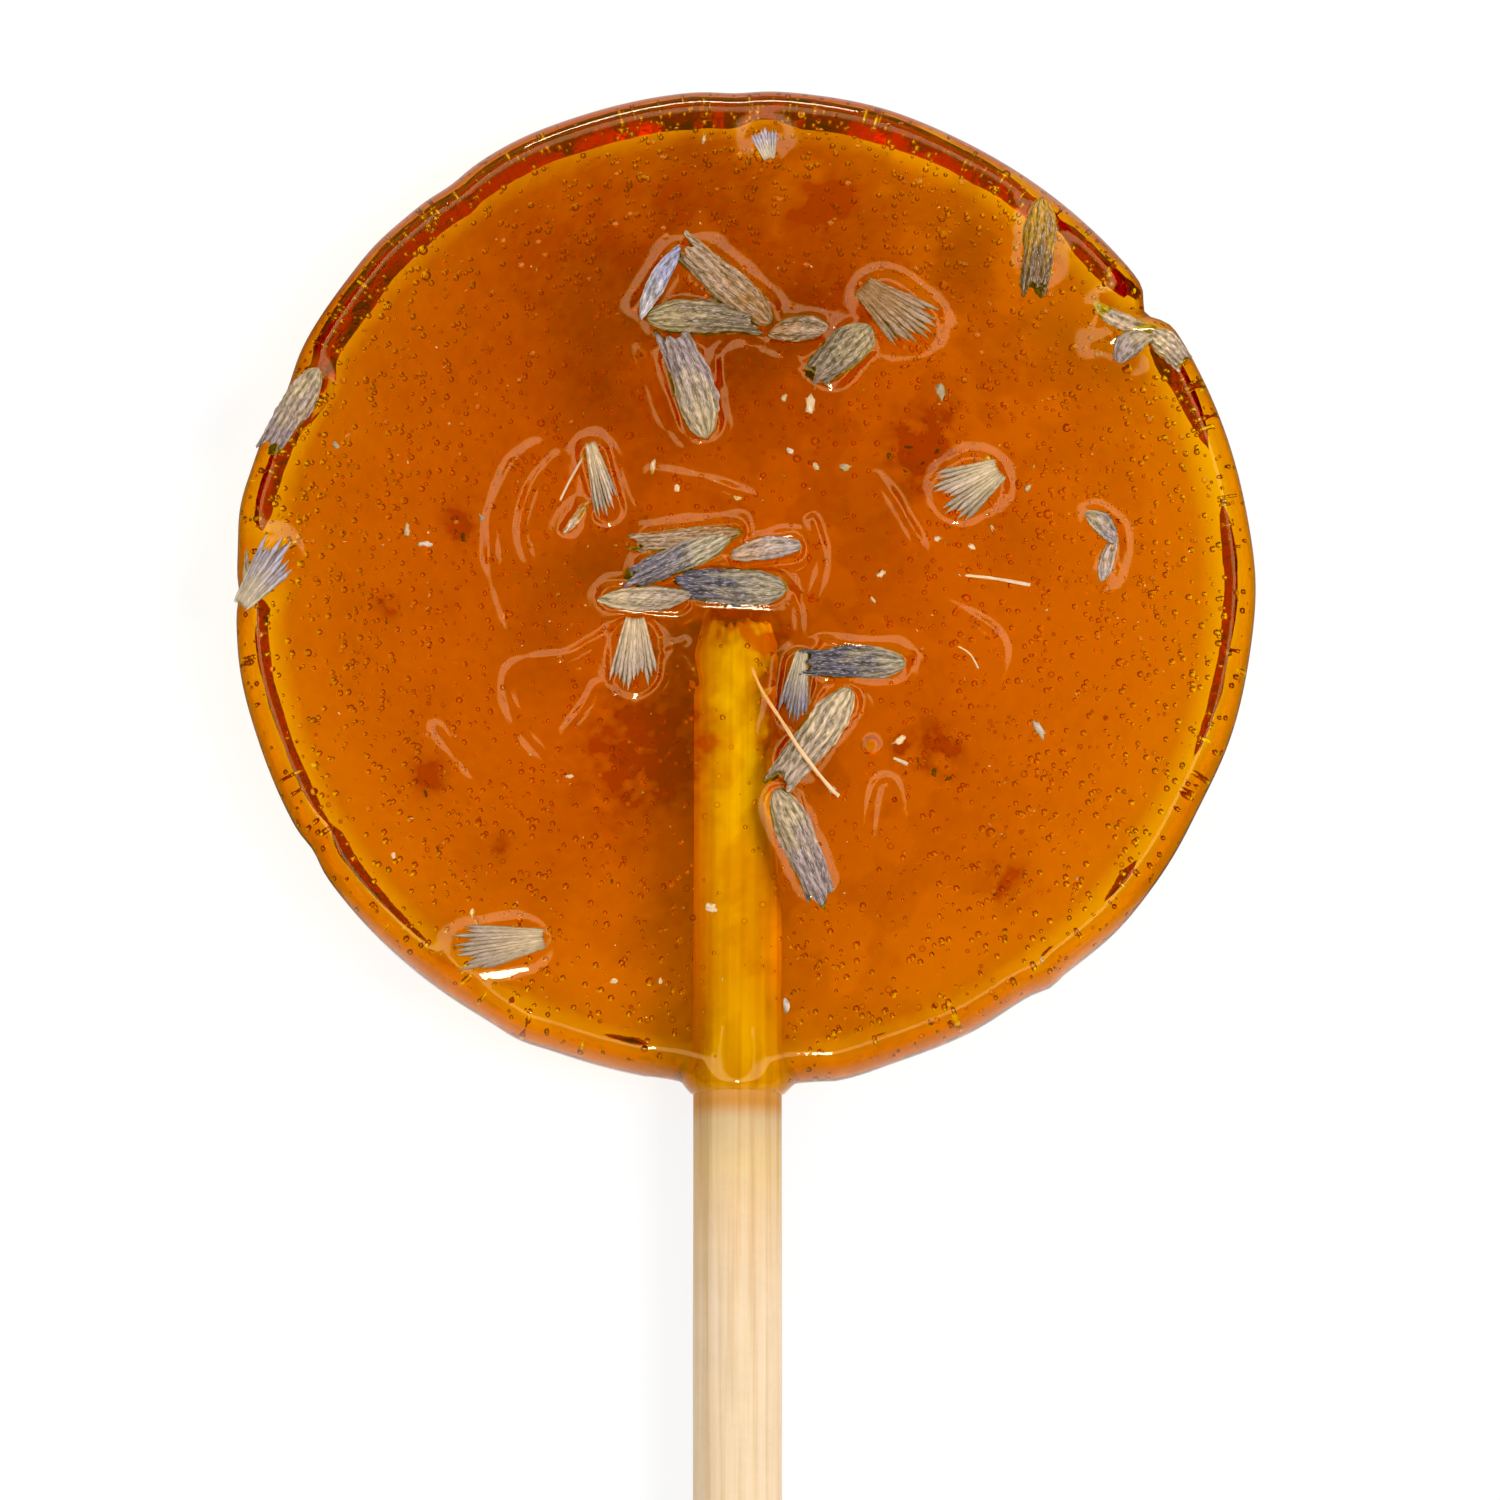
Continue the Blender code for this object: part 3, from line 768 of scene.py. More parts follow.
def bubbleSpots(rng, count, least, largest):
    spots = []
    while len(spots) < count:
        radius = (sugar["radius"] - 0.6) * math.sqrt(rng.random())
        angle = rng.uniform(-math.pi, math.pi)
        x, y = radius * math.cos(angle), radius * math.sin(angle)
        size = least + (largest - least) * rng.random() ** 1.6
        crowd = 0.35 + 0.65 * smoothStep(radius, 4.0, 19.0)     # more of them towards the rim
        crowd *= 0.6 + 0.4 * smoothStep(y, -20.0, 15.0)
        crowd *= 0.55 + 0.9 * (0.5 + 0.5 * noise.noise(Vector((x, y, 9.0)) / 3.5))
        if rng.random() > crowd:
            continue
        inset = sugar["radius"] - radius
        floor = 0.25 + size + max(0.0, sugar["widestHeight"] * (1.0 - inset / insetAt(angle)))
        roof = topHeight(x, y) - 0.25 - size
        if roof <= floor:
            continue
        z = floor + (roof - floor) * rng.random() ** 0.7
        if y < 0 and math.hypot(x - stick["x"], z - stick["height"]) < stick["radius"] + size + 0.05:
            continue
        spots.append((x, y, z, size))
    return spots


def addBubbles(mesh):
    rng = random.Random(bubbles["seed"])
    for kind, subdivisions in (("small", 0), ("medium", 1), ("large", 2)):
        count, least, largest = bubbles[kind]
        spots = bubbleSpots(rng, count, least, largest)
        if kind == "large":
            for x, y, size in bubbles["placed"]:
                spots.append((x, y, topHeight(x, y) - size - 0.12, size))
        addTo(mesh, hollowBalls(spots, subdivisions))
    return mesh


sugarMesh = addCollar(makeSugar())
print("sugar poured", len(sugarMesh.verts))
addBubbles(sugarMesh)
sugarDisc = finishPiece("sugarDisc", sugarMesh, amberSugar)
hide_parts("candy")
print("sugar disc", len(sugarDisc.data.polygons), "faces")


def makeStick():
    mesh = bmesh.new()
    bmesh.ops.create_cone(mesh, cap_ends=True, segments=stick["sides"], radius1=stick["radius"],
                          radius2=stick["radius"], depth=stick["length"])
    rims = [edge for edge in mesh.edges if edge.calc_length() < 1.0]
    bmesh.ops.bevel(mesh, geom=rims, offset=stick["chamfer"], segments=2, profile=0.5,
                    affect="EDGES", material=-1)
    lengthwise = [edge for edge in mesh.edges if edge.calc_length() > 0.5 * stick["length"]]
    bmesh.ops.subdivide_edges(mesh, edges=lengthwise, cuts=stick["rings"], use_grid_fill=True)
    turnMesh(mesh, math.radians(90.0), "X")
    for vert in mesh.verts:
        turn = math.atan2(vert.co.z, vert.co.x)
        out = math.hypot(vert.co.x, vert.co.z)
        if out < 0.5 * stick["radius"]:
            continue
        fibre = noise.noise(Vector((math.cos(turn) * 9.0, math.sin(turn) * 9.0, vert.co.y * 0.03)))
        lump = noise.noise(Vector((math.cos(turn), math.sin(turn), vert.co.y * 0.12 + 40.0)))
        scale = 1.0 + (stick["groove"] * fibre + stick["lump"] * lump) / stick["radius"]
        nearEnd = smoothStep(vert.co.y, 0.5 * stick["length"] - 2.4, 0.5 * stick["length"])
        ragged = noise.noise(Vector((math.cos(turn) * 1.6, math.sin(turn) * 1.6, 5.0))) + 0.35
        ragged += 0.5 * noise.noise(Vector((math.cos(turn) * 5.0, math.sin(turn) * 5.0, 5.0)))
        vert.co.y -= stick["raggedEnd"] * nearEnd * ragged
        vert.co.x *= scale * (1.0 - stick["taper"] * nearEnd)
        vert.co.z *= scale * (1.0 - stick["taper"] * nearEnd)
    middle = stick["innerEnd"] - 0.5 * stick["length"]
    bmesh.ops.translate(mesh, verts=mesh.verts, vec=(stick["x"], middle, stick["height"]))
    return mesh


bambooStick = finishPiece("bambooStick", makeStick(), bamboo, sharp=50)
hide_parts("stick")
print("stick", len(bambooStick.data.polygons), "faces")


# stem colour and mouth colour of the dried flowers, linear
dryColours = {
    "olive": ((0.40, 0.28, 0.15), (0.20, 0.13, 0.10)),
    "cream": ((0.60, 0.43, 0.25), (0.40, 0.28, 0.21)),
    "ash": ((0.48, 0.34, 0.20), (0.30, 0.21, 0.22)),
    "tan": ((0.58, 0.40, 0.24), (0.40, 0.28, 0.22)),
    "brown": ((0.32, 0.14, 0.06), (0.38, 0.22, 0.14)),
    "gold": ((0.50, 0.24, 0.03), (0.17, 0.09, 0.06)),
    "straw": ((0.62, 0.40, 0.22), (0.52, 0.36, 0.25)),
    "pink": ((0.54, 0.31, 0.20), (0.46, 0.34, 0.30)),
    "violet": ((0.44, 0.34, 0.22), (0.15, 0.12, 0.17)),
    "deepViolet": ((0.36, 0.28, 0.19), (0.075, 0.065, 0.12)),
    "ashViolet": ((0.52, 0.40, 0.28), (0.38, 0.31, 0.38)),
    "lilac": ((0.52, 0.45, 0.47), (0.34, 0.32, 0.48)),
    "speck": ((0.10, 0.03, 0.01), (0.05, 0.02, 0.01)),
    "stalk": ((0.62, 0.25, 0.05), (0.62, 0.42, 0.26)),
}

# thickness and lift are shares of the width, "raised" is in millimetres
budForms = {
    "calyx": {"ribs": 12, "rings": 30, "thickness": 0.80, "lift": 0.12, "raised": 0.0, "shade": 1.0},
    "petal": {"ribs": 5, "rings": 24, "thickness": 0.34, "lift": 0.36, "raised": 0.14, "shade": 0.88},
    "fan": {"blades": 8, "rings": 16, "lift": 0.10, "raised": 0.22, "shade": 1.26},
}


def mixColours(a, b, share):
    return [p + (q - p) * share for p, q in zip(a, b)]


def calyxShape(along, turn, own):
    # along runs from the stem to the mouth and then back down inside it
    wall = 0.86
    inner = max(0.0, (along - wall) / (1.0 - wall))
    reach = min(1.0, along / wall)
    half = math.sqrt(max(0.0, 1.0 - (1.0 - min(1.0, reach / 0.42)) ** 2)) ** 1.15
    half *= 1.0 - 0.22 * smoothStep(reach, 0.45, 1.0)
    wander = turn + 0.25 * math.sin(3.0 * reach + own["phase"])
    ridge = math.cos(budForms["calyx"]["ribs"] * wander)
    half *= 1.0 + 0.085 * ridge * (0.3 + 0.7 * reach)
    half *= 1.0 - 0.92 * inner - (0.10 if inner > 0 else 0.0) * (1.0 - inner)
    teeth = max(0.0, math.cos(2.0 * turn + own["phase"])) ** 1.5
    teeth += 0.45 * max(0.0, math.cos(5.0 * turn - own["phase"]))
    reach += (0.02 + 0.13 * teeth) * smoothStep(reach, 0.66, 1.0) * (1.0 - inner)
    reach -= 0.16 * inner
    return reach, half * math.cos(turn), half * math.sin(turn), ridge, inner


def petalShape(along, turn, own):
    side = math.cos(turn)
    half = math.sin(math.pi * (0.04 + 0.90 * along)) ** 0.6
    twist = own["twist"] * (along - 0.5)
    y = half * side
    z = 0.55 * math.sin(turn) * half + 0.9 * abs(side) ** 1.5 * half * own["fold"]
    ridge = math.cos(math.pi * 5 * side + own["phase"])
    return (along + 0.10 * own["slant"] * side, y * math.cos(twist) - z * 0.5 * math.sin(twist),
            z * math.cos(twist) + y * 1.2 * math.sin(twist), ridge, 0.0)


budShapes = {"calyx": calyxShape, "petal": petalShape}


def seatFrame(x, y, heading, height):
    # a place on the top, level with its slope, with +X along the heading
    step = 0.8
    slopeX = (topHeight(x + step, y) - topHeight(x - step, y)) / (2.0 * step)
    slopeY = (topHeight(x, y + step) - topHeight(x, y - step)) / (2.0 * step)
    up = Vector((-slopeX, -slopeY, 1.0)).normalized()
    ahead = Vector((math.cos(math.radians(heading)), math.sin(math.radians(heading)), 0.0))
    ahead = (ahead - up * ahead.dot(up)).normalized()
    left = up.cross(ahead)
    seat = Matrix((ahead, left, up)).transposed().to_4x4()
    seat.translation = Vector((x, y, topHeight(x, y) + height))
    return seat


def dryShell(segments, rings):
    # a closed shell with its poles at the stem (-X) and the mouth (+X)
    part = bmesh.new()
    bmesh.ops.create_uvsphere(part, u_segments=segments, v_segments=rings, radius=1.0)
    turnMesh(part, math.radians(90.0), "Y")
    return part, part.verts.layers.float_color.new("tint"), part.verts.layers.float_vector.new("fibre")


def fibreAt(along, turn, length, width, seed):
    # where the fibres' texture is read: drawn out along the length
    return Vector((along * length * 2.0, math.cos(turn) * width * 5.5,
                   math.sin(turn) * width * 5.5 + 7.0 * seed))


def makeBody(bud, form, own, seed):
    x, y, heading, length, width, kind, colour, bend = bud
    rules = budForms[form]
    part, tint, fibre = dryShell(4 * rules["ribs"], rules["rings"])
    stem, mouth = dryColours[colour]
    for vert in part.verts:
        along = math.acos(max(-1.0, min(1.0, -vert.co.x))) / math.pi
        turn = math.atan2(vert.co.z, vert.co.y)
        reach, side, rise, ridge, inner = budShapes[form](along, turn, own)
        vert[fibre] = fibreAt(reach, turn, length, width, seed)
        rough = noise.noise(Vector((reach * 4.0, side * 2.0, rise * 2.0 + seed)))
        fuzz = noise.noise(Vector((reach * length * 5.0, side * width * 5.0, rise * 5.0 + seed)))
        swell = 1.0 + 0.14 * rough + 0.10 * fuzz
        bow = bend * (1.0 - (2.0 * reach - 1.0) ** 2) * 0.5 * width
        vert.co = ((reach - 0.5) * length,
                   side * swell * 0.5 * width + bow,
                   rise * swell * 0.5 * width * rules["thickness"])
        share = smoothStep(reach + 0.5 * rough, 0.15, 0.85)
        # on a calyx, painted shade in the grooves between the ribs and down inside the mouth; on a petal
        # the same sum makes dark stripes
        shade = 0.42 + 0.63 * smoothStep(ridge + 1.2 * fuzz, -0.9, 0.8)
        shade *= rules["shade"] * (1.0 - 0.7 * inner) * (1.0 + 0.6 * fuzz)
        vert[tint] = [value * shade for value in mixColours(stem, mouth, share)] + [1.0]
    bmesh.ops.recalc_face_normals(part, faces=part.faces)
    turnMesh(part, own["roll"], "X")
    return part


def makeFan(bud, seed):
    # a husk that has split into narrow blades, joined at the stem
    x, y, heading, length, width, kind, colour, bend = bud
    rules = budForms["fan"]
    rng = random.Random(seed)
    stem, mouth = dryColours[colour]
    whole = bmesh.new()
    spread = 2.0 * math.atan2(0.40 * width, length)
    count = rules["blades"] + (3 if width > 2.2 else 0)
    for index in range(count):
        place = (index + 0.5) / count - 0.5
        reachOf = length * rng.uniform(0.80, 1.04) * (1.0 - 0.25 * abs(place))
        broad = 1.25 * width / count * rng.uniform(0.8, 1.25)
        high = broad * rng.uniform(0.5, 0.8)
        tone = rules["shade"] * rng.uniform(0.75, 1.25)
        bowed = rng.uniform(-0.10, 0.10) + 0.30 * place
        lift = rng.uniform(0.0, 0.10) * length
        part, tint, fibre = dryShell(10, rules["rings"])
        for vert in part.verts:
            along = math.acos(max(-1.0, min(1.0, -vert.co.x))) / math.pi
            turn = math.atan2(vert.co.z, vert.co.y)
            vert[fibre] = fibreAt(along, turn, length, 0.4 * width, seed + index)
            half = min(1.0, math.sqrt(along / 0.10)) * (0.55 + 0.45 * along)
            half *= 1.0 - smoothStep(along, 0.80, 1.02)
            fuzz = noise.noise(Vector((along * length * 4.0, turn, index * 3.0 + seed)))
            half *= 1.0 + 0.35 * fuzz
            ridge = math.cos(turn * 2.0)
            vert.co = (along * reachOf,
                       half * math.cos(turn) * 0.5 * broad + bowed * along * along * 0.6 * broad,
                       half * math.sin(turn) * 0.5 * high + lift * along * along
                       + 0.30 * width * (0.25 - place * place) * smoothStep(along, 0.0, 0.4))
            share = smoothStep(along + 0.4 * fuzz, 0.2, 0.9)
            shade = tone * (0.85 + 0.35 * fuzz) * (0.75 - 0.35 * ridge)
            vert[tint] = [value * shade for value in mixColours(stem, mouth, share)] + [1.0]
        bmesh.ops.recalc_face_normals(part, faces=part.faces)
        bmesh.ops.translate(part, verts=part.verts, vec=(0.0, 0.35 * width * place, 0.0))
        turnMesh(part, spread * place, "Z")
        bmesh.ops.translate(part, verts=part.verts, vec=(-0.5 * length, 0.0, 0.0))
        addTo(whole, part)
    return whole


def makeBud(index, bud):
    x, y, heading, length, width, form, colour, bend = bud
    rng = random.Random(100 + index)
    own = {
        "phase": rng.uniform(0, 6.28),
        "twist": rng.uniform(-0.9, 0.9),
        "fold": rng.uniform(-0.25, 0.35),
        "slant": rng.uniform(-1.0, 1.0),
        "roll": rng.uniform(-0.4, 0.4) if form == "calyx" else 0.0,
    }
    part = makeFan(bud, index) if form == "fan" else makeBody(bud, form, own, 10.0 * index)
    seat = seatFrame(x, y, heading, budForms[form]["lift"] * width + budForms[form]["raised"])
    bmesh.ops.transform(part, verts=part.verts, matrix=seat)
    return part


def makeBuds(name, form):
    mesh = bmesh.new()
    for index, bud in enumerate(budList):
        if bud[5] == form:
            addTo(mesh, makeBud(index, bud))
    piece = finishPiece(name, mesh, driedFlower)
    print(name, len(piece.data.polygons), "faces")


makeBuds("lavenderCalyxes", "calyx")
makeBuds("lavenderFans", "fan")
makeBuds("lavenderPetals", "petal")


# what has crumbled off the buds
crumbs = {
    "seed": 21,
    "placed": [                 # x, y, longest side, colour
        (2.0, 8.8, 0.5, "straw"), (3.3, 8.4, 1.2, "straw"), (9.8, 9.2, 0.9, "ash"),
        (-16.7, 2.2, 0.9, "straw"), (-15.8, 1.5, 0.9, "ashViolet"), (-13.0, 2.8, 0.5, "violet"),
        (-20.3, 6.6, 0.6, "ash"), (-4.5, 5.3, 0.9, "straw"), (-3.3, 4.2, 0.5, "straw"),
        (-0.3, 3.7, 0.5, "pink"), (2.3, 6.1, 0.5, "ashViolet"), (3.6, 5.3, 0.6, "straw"),
        (5.0, 5.3, 0.7, "straw"), (6.8, -0.1, 0.6, "straw"), (6.4, -1.4, 0.5, "straw"),
        (7.7, -8.4, 0.8, "straw"), (14.1, 4.3, 0.5, "straw"),
        (9.6, 1.7, 0.5, "straw"), (11.3, 1.3, 0.5, "straw"), (12.3, 2.3, 0.5, "straw"),
        (12.1, 5.7, 0.5, "straw"), (14.6, -7.8, 1.2, "ashViolet"), (-17.3, -14.0, 0.4, "straw"),
        (-13.4, -16.9, 0.5, "straw"), (-1.6, -16.7, 0.8, "straw"), (2.1, -21.5, 0.9, "ashViolet"),
        (-6.4, -20.3, 0.5, "straw"), (-4.1, -20.3, 0.4, "straw"), (4.4, -10.9, 0.5, "straw"),
        (14.7, -19.2, 0.4, "straw"), (-8.6, -10.2, 0.5, "straw"), (-2.0, 22.2, 0.6, "straw"),
    ],
    "sunk": [                   # dark specks in the sugar: x, y, longest side
        (-13.9, 1.9, 0.5), (-17.7, -2.3, 0.35), (-15.1, -13.6, 0.4), (-15.7, -10.9, 0.4),
        (1.55, -10.2, 0.6), (7.2, 6.0, 0.4), (8.2, 6.4, 0.5), (8.9, 5.6, 0.35), (9.6, 6.2, 0.4),
        (8.0, 5.2, 0.3), (8.6, -9.3, 0.4), (9.4, -9.9, 0.5), (10.1, -10.2, 0.4), (8.0, -9.9, 0.3),
        (-6.5, -15.3, 0.35), (12.4, -15.9, 0.35),
    ],
    "strands": [                # points, lift, radius, colour
        ([(0.4, -4.9), (0.9, -6.1), (1.85, -7.6), (2.85, -9.15), (4.1, -10.7), (4.7, -11.25)],
         1.08, 0.10, "stalk"),
        ([(10.96, -0.15), (12.4, -0.3), (14.2, -0.6)], 0.12, 0.09, "straw"),
        ([(10.6, -3.7), (11.2, -4.1), (11.6, -4.8)], 0.10, 0.05, "straw"),
        ([(7.4, -9.3), (8.1, -9.6)], 0.10, 0.10, "cream"),
        ([(-2.3, 16.9), (-1.6, 16.1), (-0.7, 15.2)], 0.50, 0.08, "brown"),
        ([(-9.1, 3.6), (-8.6, 4.6), (-7.9, 5.9)], 0.35, 0.07, "tan"),
    ],
    "dust": 150,
    "share": 0.8,               # all sizes are multiplied by this
}


def makeCrumb(rng, x, y, size, colour, lift):
    part = bmesh.new()
    bmesh.ops.create_icosphere(part, subdivisions=2 if size > 0.35 else 1, radius=0.5)
    tint = part.verts.layers.float_color.new("tint")
    fibre = part.verts.layers.float_vector.new("fibre")
    shade = rng.uniform(0.5, 0.9)
    size *= crumbs["share"]
    base = mixColours(*dryColours[colour], 0.3 * rng.random())
    wide, high = size * rng.uniform(0.35, 0.7), size * rng.uniform(0.2, 0.4)
    for vert in part.verts:
        jag = 1.0 + 0.9 * noise.noise(vert.co * 4.0 + Vector((x, y, size)) * 5.0)
        vert[fibre] = Vector((vert.co.x * 2.0, vert.co.y * 6.0 + x, vert.co.z * 6.0 + y))
        vert.co = (vert.co.x * size * jag, vert.co.y * wide * jag, vert.co.z * high * jag)
        # painted shade: darker where the crumb's surface dips in
        vert[tint] = [value * shade * (0.75 + 0.4 * jag) for value in base] + [1.0]
    bmesh.ops.transform(part, verts=part.verts, matrix=seatFrame(x, y, rng.uniform(0, 360), lift))
    return part


def makeStrand(points, lift, radius, colour):
    # a thin fibre along a curve over the top
    part = bmesh.new()
    bmesh.ops.create_cone(part, cap_ends=True, segments=8, radius1=1.0, radius2=1.0, depth=1.0)
    lengthwise = [edge for edge in part.edges if abs(edge.verts[0].co.z - edge.verts[1].co.z) > 0.5]
    curve = curvePoints(points, 8)
    bmesh.ops.subdivide_edges(part, edges=lengthwise, cuts=len(curve) - 2, use_grid_fill=True)
    tint = part.verts.layers.float_color.new("tint")
    fibre = part.verts.layers.float_vector.new("fibre")
    stem, mouth = dryColours[colour]
    for vert in part.verts:
        share = min(1.0, max(0.0, vert.co.z + 0.5))
        index = min(len(curve) - 2, int(share * (len(curve) - 1)))
        within = share * (len(curve) - 1) - index
        (ax, ay), (bx, by) = curve[index], curve[index + 1]
        x, y = ax + (bx - ax) * within, ay + (by - ay) * within
        turn = math.atan2(by - ay, bx - ax)
        thick = radius * (0.75 + 0.35 * share + 0.25 * noise.noise(Vector((share * 9.0, x, y))))
        side, rise = vert.co.x * thick, vert.co.y * thick
        vert[fibre] = Vector((share * 6.0, vert.co.x * 2.0 + x, vert.co.y * 2.0))
        vert[tint] = mixColours(stem, mouth, share) + [1.0]
        vert.co = (x - math.sin(turn) * side, y + math.cos(turn) * side,
                   topHeight(x, y) + lift * math.sin(math.pi * min(1.0, 0.15 + 0.75 * share)) + rise)
    bmesh.ops.recalc_face_normals(part, faces=part.faces)
    return part


def makeCrumbs():
    rng = random.Random(crumbs["seed"])
    mesh = bmesh.new()
    for x, y, size, colour in crumbs["placed"]:
        addTo(mesh, makeCrumb(rng, x, y, size, colour, 0.03))
    for x, y, size in crumbs["sunk"]:
        addTo(mesh, makeCrumb(rng, x, y, size, "speck", -0.7))
    for strand in crumbs["strands"]:
        addTo(mesh, makeStrand(*strand))
    for _ in range(crumbs["dust"]):
        radius = 23.5 * math.sqrt(rng.random())
        angle = rng.uniform(0.0, 2.0 * math.pi)
        colour = rng.choice(("straw", "tan", "pink", "brown"))
        x, y = radius * math.cos(angle), radius * math.sin(angle)
        addTo(mesh, makeCrumb(rng, x, y, rng.uniform(0.12, 0.26), colour, 0.0))
    return mesh


finishPiece("flowerCrumbs", makeCrumbs(), driedBits)
print("crumbs made")


# a white glowing table, that is plain white under the sugar, so that no lamp shows there
table = {
    "white": 0.372,
    "outerWhite": 0.13,
    "glow": 0.82,
    "glowFrom": 22.6,           # where the glow begins, and where it is full
    "glowFull": 24.4,
    "hidden": (0.85, 0.40),     # how little it is mirrored to the sides, and at the far rim
}


def tableMaterial():
    material, tree, shader = newMaterial("paleTable", Roughness=0.9, Metallic=0.0)
    shader.inputs["Specular IOR Level"].default_value = 0.0
    shader.inputs["Emission Color"].default_value = (1, 1, 1, 1)
    spot = tree.nodes.new("ShaderNodeTexCoord")
    away = addNode(tree, "ShaderNodeVectorMath", operation="LENGTH")
    tree.links.new(spot.outputs["Object"], away.inputs[0])
    away = away.outputs["Value"]
    outside = rangeNode(tree, away, table["glowFrom"] * mm, table["glowFull"] * mm)
    white = rangeNode(tree, outside, 0.0, 1.0, table["white"], table["outerWhite"])
    # except towards the stick, the table hardly shows as a reflection in the rim
    apart = tree.nodes.new("ShaderNodeSeparateXYZ")
    tree.links.new(spot.outputs["Object"], apart.inputs[0])
    across = mathNode(tree, "DIVIDE", apart.outputs["Y"], away)
    beyond = rangeNode(tree, across, light["sidesFrom"], light["sidesTo"], *table["hidden"])
    sideways = rangeNode(tree, across, -light["sidesTo"], -light["sidesFrom"])
    sideways = mathNode(tree, "MULTIPLY", sideways, beyond)
    path = tree.nodes.new("ShaderNodeLightPath").outputs
    mirrored = mathNode(tree, "SUBTRACT", path["Is Glossy Ray"], path["Is Transmission Ray"])
    mirrored = mathNode(tree, "MAXIMUM", mirrored, 0.0)
    kept = mathNode(tree, "SUBTRACT", 1.0, mathNode(tree, "MULTIPLY", sideways, mirrored))
    tree.links.new(mathNode(tree, "MULTIPLY", white, kept), shader.inputs["Base Color"])
    glow = mathNode(tree, "MULTIPLY", outside, table["glow"])
    tree.links.new(mathNode(tree, "MULTIPLY", glow, kept), shader.inputs["Emission Strength"])
    return material


def makeTable():
    mesh = bmesh.new()
    bmesh.ops.create_grid(mesh, x_segments=1, y_segments=1, size=1.5)
    bmesh.ops.translate(mesh, verts=mesh.verts, vec=(0, 0, -0.00004))
    data = bpy.data.meshes.new("table")
    mesh.to_mesh(data)
    mesh.free()
    data.materials.append(tableMaterial())
    top = bpy.data.objects.new("table", data)
    bpy.context.scene.collection.objects.link(top)


light = {
    "ring": 1.25,               # brightness of the room round the table
    "ringEdge": 0.50,           # height in the sky up to which it is bright
    "ringTop": 0.62,            # and above which it is dim
    "overhead": 0.60,           # how bright the dim part is
    "sidesFrom": 0.58,          # to the left and right of this the ring shows in no highlight
    "sidesTo": 0.74,
    "halo": 2.4,                # a band of soft boxes that only shows as a reflection
    "haloFrom": (0.62, 0.68),
    "haloTo": (0.83, 0.88),
    # soft boxes: azimuth and elevation in degrees, distance, width and height in metres, watts,
    # and whether the box only shows as a highlight
    "panels": {
        "key": (-4.0, 54.0, 0.6, 0.24, 0.24, 3.4, False),
        "fill": (180.0, 46.0, 0.9, 0.9, 0.9, 2.9, False),
        "glint": (-92.0, 46.0, 0.6, 0.08, 0.10, 1.1, True),
        "backGlint": (96.0, 10.0, 0.6, 0.35, 0.06, 1.8, True),
    },
}


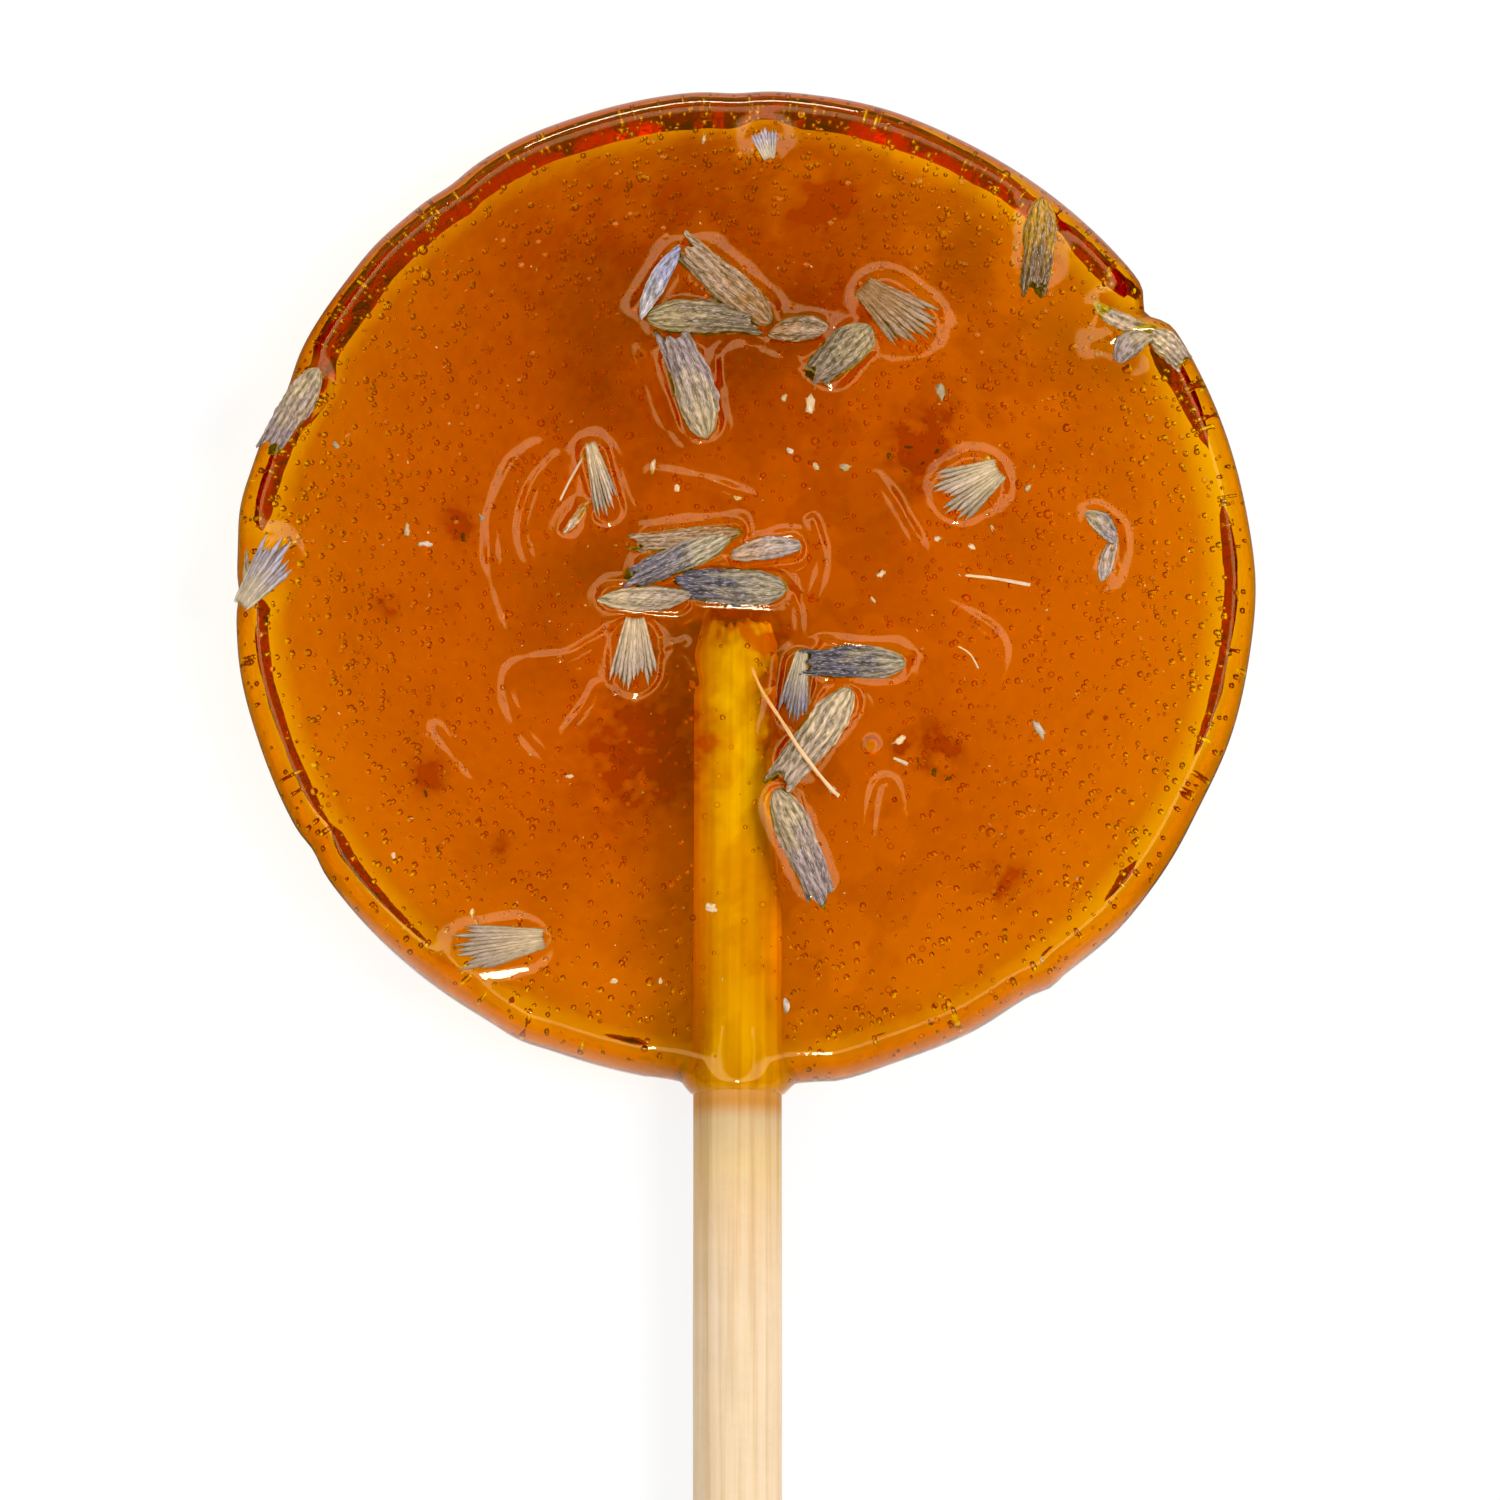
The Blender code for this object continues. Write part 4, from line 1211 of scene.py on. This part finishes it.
def makeRoom():
    # a bright ring round the table under a dim ceiling, so that the top reflects little
    world = bpy.data.worlds.new("room")
    bpy.context.scene.world = world
    world.use_nodes = True
    tree = world.node_tree
    back = tree.nodes["Background"]
    spot = tree.nodes.new("ShaderNodeTexCoord")
    apart = tree.nodes.new("ShaderNodeSeparateXYZ")
    tree.links.new(spot.outputs["Generated"], apart.inputs[0])
    up = apart.outputs["Z"]
    mirrored = tree.nodes.new("ShaderNodeLightPath").outputs["Is Glossy Ray"]
    room = rangeNode(tree, up, light["ringEdge"], light["ringTop"], 1.0, light["overhead"])
    sideways = mathNode(tree, "ABSOLUTE", apart.outputs["Y"])
    sideways = rangeNode(tree, sideways, light["sidesFrom"], light["sidesTo"], 1.0, 0.0)
    sideways = mathNode(tree, "MULTIPLY", sideways, rangeNode(tree, up, *light["haloFrom"], 1.0, 0.0))
    kept = mathNode(tree, "SUBTRACT", 1.0, mathNode(tree, "MULTIPLY", sideways, mirrored))
    band = mathNode(tree, "MULTIPLY", rangeNode(tree, up, *light["haloFrom"]),
                    rangeNode(tree, up, *light["haloTo"], 1.0, 0.0))
    halo = mathNode(tree, "MULTIPLY", mathNode(tree, "MULTIPLY", band, mirrored), light["halo"])
    total = mathNode(tree, "ADD", mathNode(tree, "MULTIPLY", room, kept), halo)
    tree.links.new(total, back.inputs["Color"])
    back.inputs["Strength"].default_value = light["ring"]


def addPanel(name, azimuth, elevation, distance, width, height, power, glints):
    # a soft box that either lights things or only shows as a highlight
    data = bpy.data.lights.new(name, "AREA")
    data.shape = "RECTANGLE"
    data.size, data.size_y = width, height
    data.energy = power
    panel = bpy.data.objects.new(name, data)
    a, e = math.radians(azimuth), math.radians(elevation)
    panel.location = (distance * math.cos(a) * math.cos(e), distance * math.sin(a) * math.cos(e),
                      distance * math.sin(e))
    panel.rotation_euler = (-panel.location).to_track_quat("-Z", "Y").to_euler()
    panel.visible_diffuse = not glints
    panel.visible_glossy = glints
    panel.visible_transmission = False
    panel.visible_camera = False
    bpy.context.scene.collection.objects.link(panel)


# the camera looks down on the disc, leaning back a little towards the stick
shot = {
    "lean": 9.0,                # degrees away from straight down
    "distance": 450.0,
    "aim": (0.314, -8.30, 2.6),
    "width": 74.7,              # what the picture's width covers at the aim
    "sensor": 36.0,
}


def makeCamera():
    lean = math.radians(shot["lean"])
    data = bpy.data.cameras.new("camera")
    data.sensor_width = shot["sensor"]
    data.lens = shot["sensor"] * shot["distance"] / shot["width"]
    data.clip_start, data.clip_end = 0.01, 10.0
    camera = bpy.data.objects.new("camera", data)
    aim = Vector(shot["aim"])
    back = Vector((0.0, -math.sin(lean), math.cos(lean))) * shot["distance"]
    camera.location = (aim + back) * mm
    camera.rotation_euler = (lean, 0.0, 0.0)
    bpy.context.scene.collection.objects.link(camera)
    bpy.context.scene.camera = camera


makeTable()
makeRoom()
for panelName, panelValues in light["panels"].items():
    addPanel(panelName, *panelValues)
makeCamera()

scene = bpy.context.scene
scene.view_settings.view_transform = "Standard"
scene.view_settings.use_curve_mapping = True
scene.view_settings.curve_mapping.black_level = (0.0, 0.0, 0.035)
scene.view_settings.curve_mapping.update()
scene.cycles.max_bounces = 16
scene.cycles.transmission_bounces = 16
scene.cycles.transparent_max_bounces = 32

print("scene ready")
